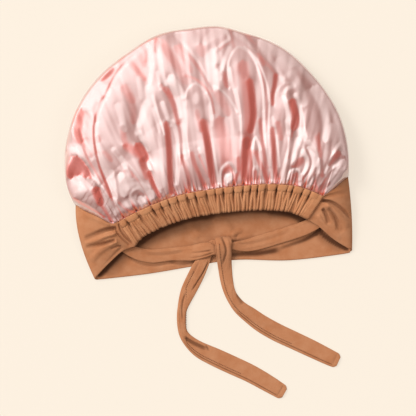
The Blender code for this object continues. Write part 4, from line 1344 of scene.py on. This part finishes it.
def tie_route(table):
    """The strap's middle line, the way across it, its width and thickness at each ring."""
    coarse = catmull_rom(table, TIE_ROUTE_STEPS)
    path = coarse[:, :3]
    across, turns = None, []
    for i in range(len(path)):
        ahead = path[min(i + 1, len(path) - 1)] - path[max(i - 1, 0)]
        level = np.array((ahead[1], -ahead[0], 0.0))
        if across is None:
            across = unit(level)
        elif np.linalg.norm(level) > STEEP:
            across = unit(level) * math.copysign(1.0, across @ level)
        turns.append(across)
    rows = catmull_rom(np.hstack([coarse, np.array(turns)]), TIE_STEPS // TIE_ROUTE_STEPS)
    return rows[:, :3], unit(rows[:, 5:8]), rows[:, 3], rows[:, 4]


def tie_section():
    """Round a strap's section from its left edge: x over its width, z over its thickness."""
    turn = np.linspace(0.0, 2 * np.pi, 2 * TIE_SIDES + 1)[:-1]
    x = -np.cos(turn)
    z = np.sign(np.sin(turn)) * (1 - np.abs(x) ** TIE_EDGE) ** (1 / TIE_EDGE)
    return x, z


def tie_seams(x, rest, side):
    """How far the strap's seam and hem sink in, and how far the cloth beside the seam stands
    up, at x over its half width and rest before its end."""
    seam = np.exp(-(((x - side * SEAM_PLACE) / SEAM_WIDTH) ** 2))
    seam = seam * smooth_step((HEM_SEAM - rest) / SEAM_FADE) * smooth_step(rest - HEM)
    padding = np.exp(-(((x - side * (SEAM_PLACE - PADDING_PLACE)) / PADDING_WIDTH) ** 2))
    hem = np.exp(-(((rest - HEM) / HEM_WIDTH) ** 2))
    hem = hem * smooth_step((HEM_SPAN - np.abs(x)) / HEM_FADE)
    return SEAM_DEPTH * np.maximum(seam, hem), PADDING_RISE * padding


def tie_strap(name, table, creases):
    """The strap as a mesh, its middle line, and the line, way and lift of its stitches."""
    path, across, width, thick = tie_route(table)
    ahead = unit(np.gradient(path, axis=0))
    up = unit(np.cross(across, ahead))
    run = arc_length(path)
    rest = (run[-1] - run)[:, None]
    # The end is rounded to two thirds of its width.
    ending = np.clip(1 - rest[:, 0] / TIE_END, 0.0, 1.0)
    width = width * (1 - END_NARROWING * ending**END_POWER)
    x, z = tie_section()
    side = math.copysign(1.0, across[-1] @ np.array((-1.0, -1.0, 0.0)))
    flat = path[:, None, :] + across[:, None, :] * (x[None, :] * width[:, None] / 2)[..., None]
    relief = fold_relief(flat[..., :2].reshape(-1, 2), creases, TIE_CREASE_END)
    relief = relief.reshape(flat.shape[:2])
    sunk, raised = tie_seams(x[None, :], rest, side)
    # In the knot the strap turns over, so creases and seam show on whichever side is up.
    facing = np.sign(up[:, 2:])
    upper = np.where(z[None, :] * facing > 0, 1.0, 0.0)
    relief = (relief - sunk + raised) * upper
    high = z[None, :] * thick[:, None] / 2 + relief * facing
    points = flat + up[:, None, :] * high[..., None]
    points[..., 2] = np.maximum(points[..., 2], FLOOR_GAP)
    around = arc_length(np.stack([x * TIE_WIDTH / 2, z], axis=1))
    uv = np.stack(np.broadcast_arrays(around[None, :], run[:, None]), axis=-1)
    # Painted shade where a crease goes in.
    hollow = np.clip(-relief - TIE_SHADE_START, 0.0, TIE_SHADE)
    # The first column comes again as the last, to close the section.
    points = np.concatenate([points, points[:, :1]], axis=1)
    uv = np.concatenate([uv, uv[:, -1:] + (1.0, 0.0)], axis=1)
    hollow = np.concatenate([hollow, hollow[:, :1]], axis=1)
    piece = sheet_grid(name, points, uv, close=True, hollow=hollow)
    column = np.abs(x[:TIE_SIDES] - side * STITCH_PLACE).argmin()
    line = np.where(facing > 0, points[:, column], points[:, -1 - column])
    return piece, path, line, ahead, up * facing


def stitch_row(name, line, ahead, up, first, last):
    """A row of short stitches along the line's tail, where it runs down between two places
    across the view, as one joined mesh."""
    across = line[:, 0] - VIEW_CORNER[0]
    tail = np.flatnonzero((across > first) & (across < last) & (ahead[:, 1] < 0))
    tail = tail[tail > len(line) // 2]
    run = arc_length(line[tail])
    want = np.arange(STITCH_START, run[-1], STITCH_SPACING)
    deselect_all()
    bpy.ops.mesh.primitive_ico_sphere_add(subdivisions=1, radius=1.0)
    piece = bpy.context.active_object
    piece.name = piece.data.name = name
    single = piece.data
    ball = np.array([vertex.co for vertex in single.vertices])
    faces = np.array([face.vertices for face in single.polygons])
    places, ways, ups = (
        np.stack([np.interp(want, run, values[tail, k]) for k in range(3)], axis=1)
        for values in (line, ahead, up)
    )
    ways, ups = unit(ways), unit(ups)
    sides = np.cross(ups, ways)
    ball = ball * STITCH_SIZE / 2
    spots = (
        places[:, None, :]
        + ways[:, None, :] * ball[None, :, :1]
        + sides[:, None, :] * ball[None, :, 1:2]
        + ups[:, None, :] * ball[None, :, 2:]
    )
    shift = np.arange(len(want))[:, None, None] * len(ball)
    mesh = bpy.data.meshes.new(name)
    mesh.from_pydata(
        to_metres(spots.reshape(-1, 3)).tolist(), [], (faces[None] + shift).reshape(-1, 3).tolist()
    )
    piece.data = mesh
    bpy.data.meshes.remove(single)
    deselect_all()
    piece.select_set(True)
    bpy.context.view_layer.objects.active = piece
    bpy.ops.object.shade_smooth()
    return piece


class OBJECT_OT_bonnet_ties(bpy.types.Operator):
    """Models the two ties of the bonnet, with their knot and tails"""

    bl_idname = "object.bonnet_ties"
    bl_label = "Ties"

    def execute(self, context):
        settings = context.scene.bonnet_jersey
        material = brushed_jersey(
            "cotton_jersey_tie", settings.colour_light, settings.colour_deep, settings
        )
        thread = spun_thread("polyester_thread_spun", settings)
        for name, table, creases, first, last in TIES:
            strap, path, line, ahead, up = tie_strap(f"tie_{name}_strap", table, creases)
            dress(strap, material, "jersey", f"tie_{name}")
            row = stitch_row(f"tie_{name}_stitches", line, ahead, up, first, last)
            dress(row, thread, "jersey")
        return {"FINISHED"}


# Casing ----------------------------------------------------------------------------------


def casing_edges(columns):
    """The casing's upper and lower edge, each as columns + 1 points at equal steps."""
    rows = catmull_rom(CASING, CASING_STEPS)
    return spread_evenly(rows[:, :3], columns), spread_evenly(rows[:, 3:], columns)


def puff_places(upper, run):
    """Each puff's centre and width, as lengths along the casing."""
    places = []
    for across, width in PUFFS:
        ends = np.interp(
            across + width / 2 * np.array((-1.0, 1.0)) + VIEW_CORNER[0], upper[:, 0], run
        )
        places.append((ends.mean(), ends[1] - ends[0]))
    return places


def casing_ribs(puffs, length):
    """Each rib's head and foot along the casing, its size, and how much later it starts."""
    rng = np.random.default_rng(RANDOM_SEED)
    ribs = []
    for centre, width in puffs:
        lean = RIB_LEAN * smooth_step(centre / LEAN_LEFT)
        lean *= smooth_step((length - centre) / LEAN_RIGHT)
        count = max(2, round(width / RIB_SPACING))
        for k in range(count):
            place = (k + 0.5) / count - 0.5
            head = centre + width * place * RIB_HEADS
            foot = centre + width * place * RIB_FEET + rng.uniform(-RIB_WANDER, RIB_WANDER)
            foot = min(foot + lean, length - TAB_WIDTH)
            ribs.append((head, foot, rng.uniform(*RIB_SIZES), rng.uniform(0.0, RIB_FADE)))
    return ribs


def casing_relief(puffs, run, v):
    """How far the casing's front stands out, run along it and v of the way down."""
    length = run[-1]
    s, v = run[:, None], v[None, :]
    relief = np.full((run.size, v.size), -GAP_DEPTH)
    for head, foot, size, late in casing_ribs(puffs, length):
        middle = head + (foot - head) * smooth_step((v - RIB_BEND) / (1 - RIB_BEND))
        across = np.abs(s - middle) / (RIB_RADIUS * size)
        crest = np.sqrt(np.clip(1 - across**2, 0.0, 1.0))
        start = smooth_step((v - RIB_START - late) / RIB_FADE)
        relief = np.maximum(relief, (RIB_RISE * size + GAP_DEPTH) * crest * start - GAP_DEPTH)
    for centre, width in puffs:
        # Under each side of a puff the cloth goes in deep, and comes out down the casing.
        for end in (-1.0, 1.0):
            edge = centre + end * width / 2
            lean = RIB_LEAN * PIT_LEAN * smooth_step(v * PIT_BEND)
            pit = np.exp(-(((s - edge - lean) / PIT_WIDTH) ** 2))
            pit = pit * smooth_step((PIT_REACH - v) / (PIT_REACH - PUFF_DEPTH))
            relief = relief - PIT_DEPTH / 2 * pit * smooth_step((v - PIT_START) / PIT_START)
        u = np.abs(s - centre) / (width / 2)
        low = np.maximum(v - PUFF_DEPTH * PUFF_TOP, 0.0) / (PUFF_DEPTH * (1 - PUFF_TOP))
        inside = np.clip(1 - u**PUFF_EDGE - low**PUFF_EDGE, 0.0, 1.0)
        puff = (PUFF_RISE + GAP_DEPTH) * inside**PUFF_ROUND - GAP_DEPTH
        relief = np.where(inside > 0, np.maximum(relief, puff), relief)
    # Its right end is one smooth tab.
    across = np.clip((s - (length - TAB_WIDTH)) / TAB_WIDTH, 0.0, 1.0)
    tab = TAB_RISE * np.sqrt(np.clip(1 - (1 - 2 * across) ** 4, 0.0, 1.0)) - GAP_DEPTH / 2
    return np.where(s > length - TAB_WIDTH, np.maximum(relief, tab), relief)


def casing_mesh():
    """The casing as a closed tube: down its front, which has the relief, and up its back."""
    upper, lower = casing_edges(CASING_COLUMNS)
    run = arc_length((upper + lower) / 2)
    depth = np.linalg.norm(lower - upper, axis=1).mean()
    ahead = unit(np.gradient((upper + lower) / 2, axis=0))
    down = lower - upper
    out = -unit(np.cross(ahead, down))
    v = np.linspace(0.0, 1.0, CASING_FRONT)
    relief = casing_relief(puff_places(upper, run), run, v)
    # Its front is bulged and turns under at the lower edge. Its back is flat.
    turned = 1 - (1 - np.clip((1 - v) / CASING_TURN, 0.0, 1.0)) ** 2
    runs_out = CASING_HALF * CASING_EDGE
    front = CASING_HALF + CASING_BULGE * (1 - (2 * v[None, :] - 1) ** 4) + relief
    front = -runs_out + (front + runs_out) * np.sqrt(turned)[None, :]
    back = np.full((len(run), CASING_BACK), -CASING_HALF)
    off = np.hstack([front, back, front[:, :1]])
    upwards = np.linspace(1 - BACK_MARGIN, BACK_MARGIN, CASING_BACK)
    share = np.concatenate([v, upwards, v[:1]])
    reach = np.broadcast_to(share[None, :], (len(run), len(share))).copy()
    # The ribs' feet turn round the lower edge and make it wavy.
    foot_out = np.maximum(relief[:, -FOOT_POINTS:].max(axis=1), 0.0)
    spread = smooth_step((v - EDGE_WAVE_START) / (1 - EDGE_WAVE_START))
    reach[:, :CASING_FRONT] += spread[None, :] * foot_out[:, None] * EDGE_WAVE / depth
    # The puffs reach up a little over the satin's edge.
    puff_out = np.maximum(relief[:, PUFF_POINT : PUFF_POINT + 1], 0.0)
    lift = np.clip(1 - v / PUFF_DEPTH, 0.0, 1.0)[None, :] * puff_out
    reach[:, :CASING_FRONT] -= lift * EDGE_WAVE / depth
    points = (
        upper[:, None, :] + down[:, None, :] * reach[..., None] + out[:, None, :] * off[..., None]
    )
    points[:, -1] = points[:, 0]
    uv = np.stack(np.broadcast_arrays(run[:, None], share[None, :] * depth), axis=-1)
    # Painted shade in the gaps between ribs and puffs, and along the lower edge where it turns
    # under.
    hollow = np.zeros(points.shape[:2])
    gaps = smooth_step((-relief - HOLLOW_START) / PIT_DEPTH) * HOLLOW_SHARE
    turning = smooth_step((v - EDGE_SHADE_START) / (1 - EDGE_SHADE_START)) * EDGE_SHADE
    hollow[:, :CASING_FRONT] = np.maximum(gaps, turning[None, :])
    return sheet_grid("casing_gathered", points, uv, close=True, hollow=hollow)


class OBJECT_OT_bonnet_casing(bpy.types.Operator):
    """Models the elastic casing with its row of puffs and its ribs"""

    bl_idname = "object.bonnet_casing"
    bl_label = "Casing"

    def execute(self, context):
        settings = context.scene.bonnet_jersey
        # The casing is the jersey painted lighter, for the light its tilted front misses.
        material = brushed_jersey(
            "cotton_jersey_casing_lit", settings.casing_lit_light, settings.casing_lit_deep, settings
        )
        dress(casing_mesh(), material, "jersey", "back_casing")
        return {"FINISHED"}


# Band ------------------------------------------------------------------------------------


def seam_row(end, beyond):
    """The band's row that is sewn to an end of the casing."""
    top, bottom = np.array(end[:3]), np.array(end[3:])
    shift = unit(top - np.array(beyond[:3])) * SEAM_GAP
    shift[2] += BAND_WALL / 2
    return (*(top + shift), *((top + bottom) / 2 + shift), *(bottom + shift))


def band_rows():
    """The band's seam, middle line and free edge, each as points from end to end."""
    table = [seam_row(CASING[0], CASING[1]), *BAND, seam_row(CASING[-1], CASING[-2])]
    rows = catmull_rom(table, BAND_STEPS)
    rows[:, 2::3] = np.maximum(rows[:, 2::3], 0.0)
    return rows[:, :3], rows[:, 3:6], rows[:, 6:9]


def band_point(row):
    """Which point of band_rows stands for a row of BAND."""
    return (row + 1) * BAND_STEPS


def band_mesh():
    """The band as a creased sheet with a wall, curved across through its three lines."""
    seam, middle, free = band_rows()
    v = np.linspace(0.0, 1.0, BAND_ACROSS + 1)[None, :, None]
    points = (
        seam[:, None] * (1 - v) * (1 - 2 * v)
        + middle[:, None] * 4 * v * (1 - v)
        + free[:, None] * v * (2 * v - 1)
    )
    along = arc_length(middle)
    row = np.arange(len(along)) / BAND_STEPS - 1  # in rows of the table
    weights = {
        1: 1 - smooth_step(row - (LEFT_FOLD - 1)),
        2: smooth_step(row - (LEFT_FOLD + 1)) * smooth_step(RIGHT_FOLD - 1 - row),
        3: smooth_step(row - RIGHT_FOLD),
    }
    flat = points[..., :2].reshape(-1, 2)
    lift = np.zeros(points.shape[:2])
    for face, weight in weights.items():
        creases = [crease[1:] for crease in BAND_CREASES if crease[0] == face]
        relief = fold_relief(flat, creases, BAND_CREASE_END).reshape(lift.shape)
        lift += relief * weight[:, None]
    v = v[..., 0]
    lift = lift * smooth_step(v / BAND_RIM) * smooth_step((1 - v) / BAND_RIM)
    points[..., 2] = np.maximum(points[..., 2] + lift, 0.0)
    across = np.linalg.norm(free - seam, axis=1)
    uv = np.stack(np.broadcast_arrays(along[:, None], across[:, None] * v), axis=-1)
    # Painted shade in the creases, and painted shadow where the casing, the gathered faces and the
    # ties lie over the front.
    hollow = np.clip(-lift / BAND_SHADE_DEPTH, 0.0, BAND_SHADE)
    piece = sheet_grid("band_wide", points[:, ::-1], uv[:, ::-1], hollow=hollow[:, ::-1])
    give_wall(piece, BAND_WALL)
    return piece


class OBJECT_OT_bonnet_band(bpy.types.Operator):
    """Models the wide band round the front and sides"""

    bl_idname = "object.bonnet_band"
    bl_label = "Band"

    def execute(self, context):
        settings = context.scene.bonnet_jersey
        material = brushed_jersey(
            "cotton_jersey_band", settings.colour_light, settings.colour_deep, settings
        )
        dress(band_mesh(), material, "jersey", "front_band")
        return {"FINISHED"}


# Crown -----------------------------------------------------------------------------------


def crown_outline(columns):
    """The crown's outline from left fold to right fold, at the height where it is widest."""
    rows = catmull_rom(OUTLINE, OUTLINE_STEPS)
    turn, radius = np.radians(rows[:, 0]), rows[:, 1]
    points = CROWN_CENTRE + np.stack(
        [radius * np.cos(turn), radius * np.sin(turn), np.full(len(turn), EQUATOR_HEIGHT)],
        axis=1,
    )
    return spread_evenly(points, columns - 1)


def crown_seam():
    """The line along which the crown meets the band, a point for each of band_rows."""
    seam, middle, _ = band_rows()
    return seam + unit(seam - middle) * SIDE_GAP


def crown_mouth(seam):
    """The crown's upper mouth edge in three parts: from the left fold up to the casing, along
    it, and down to the right fold."""
    left = seam[1 : band_point(LEFT_FOLD) + 1][::-1]
    right = seam[band_point(RIGHT_FOLD) : -1][::-1]
    upper, lower = casing_edges(MOUTH_STEPS)
    casing = upper + unit(lower - upper) * TUCK
    casing[:, 2] -= TUCK
    return left, casing, right


def dome_height(from_mouth, mouth_height, from_edge):
    """How high the crown stands without its folds."""
    rise = np.minimum(from_mouth / MOUTH_REACH, 1.0)
    dome = np.clip(from_edge / DOME_REACH, 0.0, 1.0)
    near_mouth = mouth_height + (CROWN_HEIGHT - mouth_height) * (1 - (1 - rise) ** MOUTH_FULLNESS)
    rim = np.sqrt(1 - (1 - np.minimum(from_edge / RIM_REACH, 1.0)) ** 2)
    bulge = 1 - (1 - dome) ** DOME_FULLNESS
    near_edge = EQUATOR_HEIGHT + RIM_RISE * rim
    near_edge = near_edge + (CROWN_HEIGHT - RIM_RISE - EQUATOR_HEIGHT) * bulge
    corner = CROWN_CORNER * np.minimum(rise, dome)
    return (near_mouth + near_edge - np.hypot(near_mouth - near_edge, corner)) / 2


def crown_top(mouth, edge, t, settings):
    """The upper face as rows x columns points, t of the way from mouth to outline, and how much
    painted shade and painted highlight each gets."""
    points = mouth[None] + (edge - mouth)[None] * t[:, None, None]
    from_mouth = np.linalg.norm((points - mouth[None])[..., :2], axis=-1)
    from_edge = np.linalg.norm((edge[None] - points)[..., :2], axis=-1)
    points[..., 2] = dome_height(from_mouth, mouth[None, :, 2], from_edge)
    points[0, :, 2], points[-1, :, 2] = mouth[:, 2], edge[:, 2]
    relief, slope = slope_relief(points[..., :2], CROWN_FOLDS, mouth)
    fade = smooth_step(from_mouth / FOLD_FADE_MOUTH) * smooth_step(from_edge / FOLD_FADE_EDGE)
    points[..., 2] += relief * fade * settings.fold_height
    # Where the face is short the wrinkles would crowd into a rough patch.
    room = np.minimum(np.linalg.norm((edge - mouth)[:, :2], axis=1) / WRINKLE_ROOM, 1.0)
    points[..., 2] += fine_wrinkles(points.shape[:2]) * fade * room**2
    # How deep the satin lies in the gathers also becomes painted shade.
    gathers, depth = seam_puckers(mouth, from_mouth)
    points[..., 2] += gathers
    # Painted shade where a fold turns away from the light.
    shade = np.clip(-slope / SHADE_SLOPE, 0.0, 1.0) ** SHADE_CURVE * FOLD_SHADE
    # Painted highlight where a fold faces the light, none in the gathers.
    crest = np.clip(slope / SLOPE_HIGH, 0.0, 1.0) * (1 - depth)
    return points, np.maximum(shade, depth), crest


def fine_wrinkles(shape):
    """Creases of random height that run up the cloth."""
    rng = np.random.default_rng(RANDOM_SEED)
    wrinkles = np.zeros(shape)
    for along, across, height in WRINKLES:
        wave_along = np.fft.fftfreq(shape[0])[:, None] * along
        wave_across = np.fft.fftfreq(shape[1])[None, :] * across
        keep = np.exp(-2 * np.pi**2 * (wave_along**2 + wave_across**2))
        noise = np.fft.ifft2(np.fft.fft2(rng.standard_normal(shape)) * keep).real
        wrinkles += noise / noise.std() * height
    return wrinkles


def seam_puckers(mouth, from_mouth):
    """Gathers where the satin is drawn in along the seam, and how deep in them it lies, for
    the painted shade. It stands up behind each puff, and away from the seam the fine gathers
    die first."""
    across = mouth[:, 0] - VIEW_CORNER[0]
    wave = np.zeros(len(mouth))
    for centre, width in PUFFS:
        u = np.clip(np.abs(across - centre) / (width / 2), 0.0, 1.0)
        wave = np.maximum(wave, np.sqrt(1 - u**2))
    drift = sum(turn * np.sin(across / length + start) for turn, length, start in GATHER_DRIFT)
    fine = np.sin(across * 2 * np.pi / GATHER_WIDTH + drift)
    finer = np.sin(across * 2 * np.pi / (GATHER_WIDTH * FINER_WIDTH) + FINER_DRIFT * drift)
    lift = (wave - PUFF_LEVEL)[None, :] * PUFF_GATHER * np.exp(-from_mouth / PUFF_REACH)
    lift = lift + fine[None, :] * FINE_GATHER * np.exp(-from_mouth / FINE_REACH)
    finest = finer[None, :] * FINE_GATHER * FINER_HEIGHT * np.exp(-from_mouth / FINER_REACH)
    first, last = GATHER_SPAN
    inside = smooth_step((across - first) / GATHER_FADE)
    inside = inside * smooth_step((last - across) / GATHER_FADE)
    risen = smooth_step(from_mouth / SEAM_FLAT + SEAM_START)
    lift = (lift + finest) * risen * inside[None, :]
    return lift, smooth_step(-lift / GATHER_SHADE)


def rolled_under(edge, share):
    """The outline drawn in and down to the floor, as a quarter of an ellipse."""
    turn = np.pi / 2 * share
    inward = np.zeros_like(edge)
    inward[:, :2] = unit((CROWN_CENTRE - edge)[:, :2])
    points = edge + inward * ROLL_REACH * (1 - math.cos(turn))
    points[:, 2] = edge[:, 2] * (1 - math.sin(turn))
    return points


def crown_mesh(settings):
    """The crown as a sheet with a wall: the upper face from the mouth to the outline, the
    roll under it, and the flat underside back to the band's front."""
    seam = crown_seam()
    parts = crown_mouth(seam)
    lengths = [arc_length(part)[-1] for part in parts]
    counts = [round(CROWN_COLUMNS * part / sum(lengths) * SIDE_COLUMNS) for part in lengths]
    counts = [max(LEAST_COLUMNS, count) for count in counts]
    counts[1] = CROWN_COLUMNS - counts[0] - counts[2]
    mouth = np.vstack([spread_evenly(part, count - 1) for part, count in zip(parts, counts)])
    edge = crown_outline(CROWN_COLUMNS)
    edge[0], edge[-1] = mouth[0], mouth[-1]
    t = (np.arange(CROWN_ROWS + 1) / CROWN_ROWS) ** ROW_CROWDING
    top, *shades = crown_top(mouth, edge, t, settings)
    # At both sides the roll goes down along the band's folds.
    down_left = seam[band_point(LEFT_FOLD) : band_point(LEFT_FLOOR) + 1]
    down_left = spread_evenly(down_left, ROLL_ROWS)
    down_right = seam[band_point(RIGHT_FLOOR) : band_point(RIGHT_FOLD) + 1][::-1]
    down_right = spread_evenly(down_right, ROLL_ROWS)
    roll = []
    for r in range(1, ROLL_ROWS + 1):
        row = rolled_under(edge, r / ROLL_ROWS)
        row[0], row[-1] = down_left[r], down_right[r]
        roll.append(row)
    front = seam[band_point(LEFT_FLOOR) : band_point(RIGHT_FLOOR) + 1]
    front = spread_evenly(front, CROWN_COLUMNS - 1)
    last = roll[-1]
    under = [last + (front - last) * r / UNDER_ROWS for r in range(1, UNDER_ROWS + 1)]
    points = np.concatenate([top, np.array(roll), np.array(under)])
    steps_down = np.linalg.norm(np.diff(points, axis=0, prepend=points[:1]), axis=-1)
    run_down = np.cumsum(steps_down, axis=0)
    uv = np.stack(np.broadcast_arrays(arc_length(edge)[None], run_down), axis=-1)
    hollow, crest = (np.zeros(points.shape[:2]) for _ in shades)
    hollow[: len(top)], crest[: len(top)] = shades
    piece = sheet_grid("crown_satin", points, uv, hollow=hollow, crest=crest)
    give_wall(piece, SATIN_WALL, INNER_SHARE)
    return piece


class OBJECT_OT_bonnet_crown(bpy.types.Operator):
    """Models the gathered satin crown with its folds"""

    bl_idname = "object.bonnet_crown"
    bl_label = "Crown"

    def execute(self, context):
        settings = context.scene.bonnet_crown
        dress(crown_mesh(settings), polyester_satin(settings), "satin", "satin_crown")
        return {"FINISHED"}


# Add-on ----------------------------------------------------------------------------------

OPERATORS = (
    OBJECT_OT_bonnet_stage,
    OBJECT_OT_bonnet_ties,
    OBJECT_OT_bonnet_crown,
    OBJECT_OT_bonnet_casing,
    OBJECT_OT_bonnet_band,
)
SETTINGS = (
    ("bonnet_crown", CrownSettings),
    ("bonnet_jersey", JerseySettings),
    ("bonnet_stage", StageSettings),
)


class VIEW3D_PT_bonnet(bpy.types.Panel):
    """Lists the operators and settings in the sidebar"""

    bl_label = "Sleep bonnet"
    bl_space_type = "VIEW_3D"
    bl_region_type = "UI"
    bl_category = "Bonnet"

    def draw(self, context):
        for operator in OPERATORS:
            self.layout.operator(operator.bl_idname)
        for name, group in SETTINGS:
            box = self.layout.box()
            box.label(text=group.__name__)
            for field in group.__annotations__:
                box.prop(getattr(context.scene, name), field)


def register():
    """Registers the settings, the operators and the panel."""
    for name, group in SETTINGS:
        bpy.utils.register_class(group)
        setattr(bpy.types.Scene, name, bpy.props.PointerProperty(type=group))
    for kind in (*OPERATORS, VIEW3D_PT_bonnet):
        bpy.utils.register_class(kind)


def unregister():
    """Takes back what register did."""
    for kind in (VIEW3D_PT_bonnet, *reversed(OPERATORS)):
        bpy.utils.unregister_class(kind)
    for name, group in reversed(SETTINGS):
        delattr(bpy.types.Scene, name)
        bpy.utils.unregister_class(group)


def main():
    register()
    bpy.ops.object.bonnet_stage()
    bpy.ops.object.bonnet_ties()
    bpy.ops.object.bonnet_crown()
    bpy.ops.object.bonnet_casing()
    bpy.ops.object.bonnet_band()


if __name__ == "__main__":
    main()
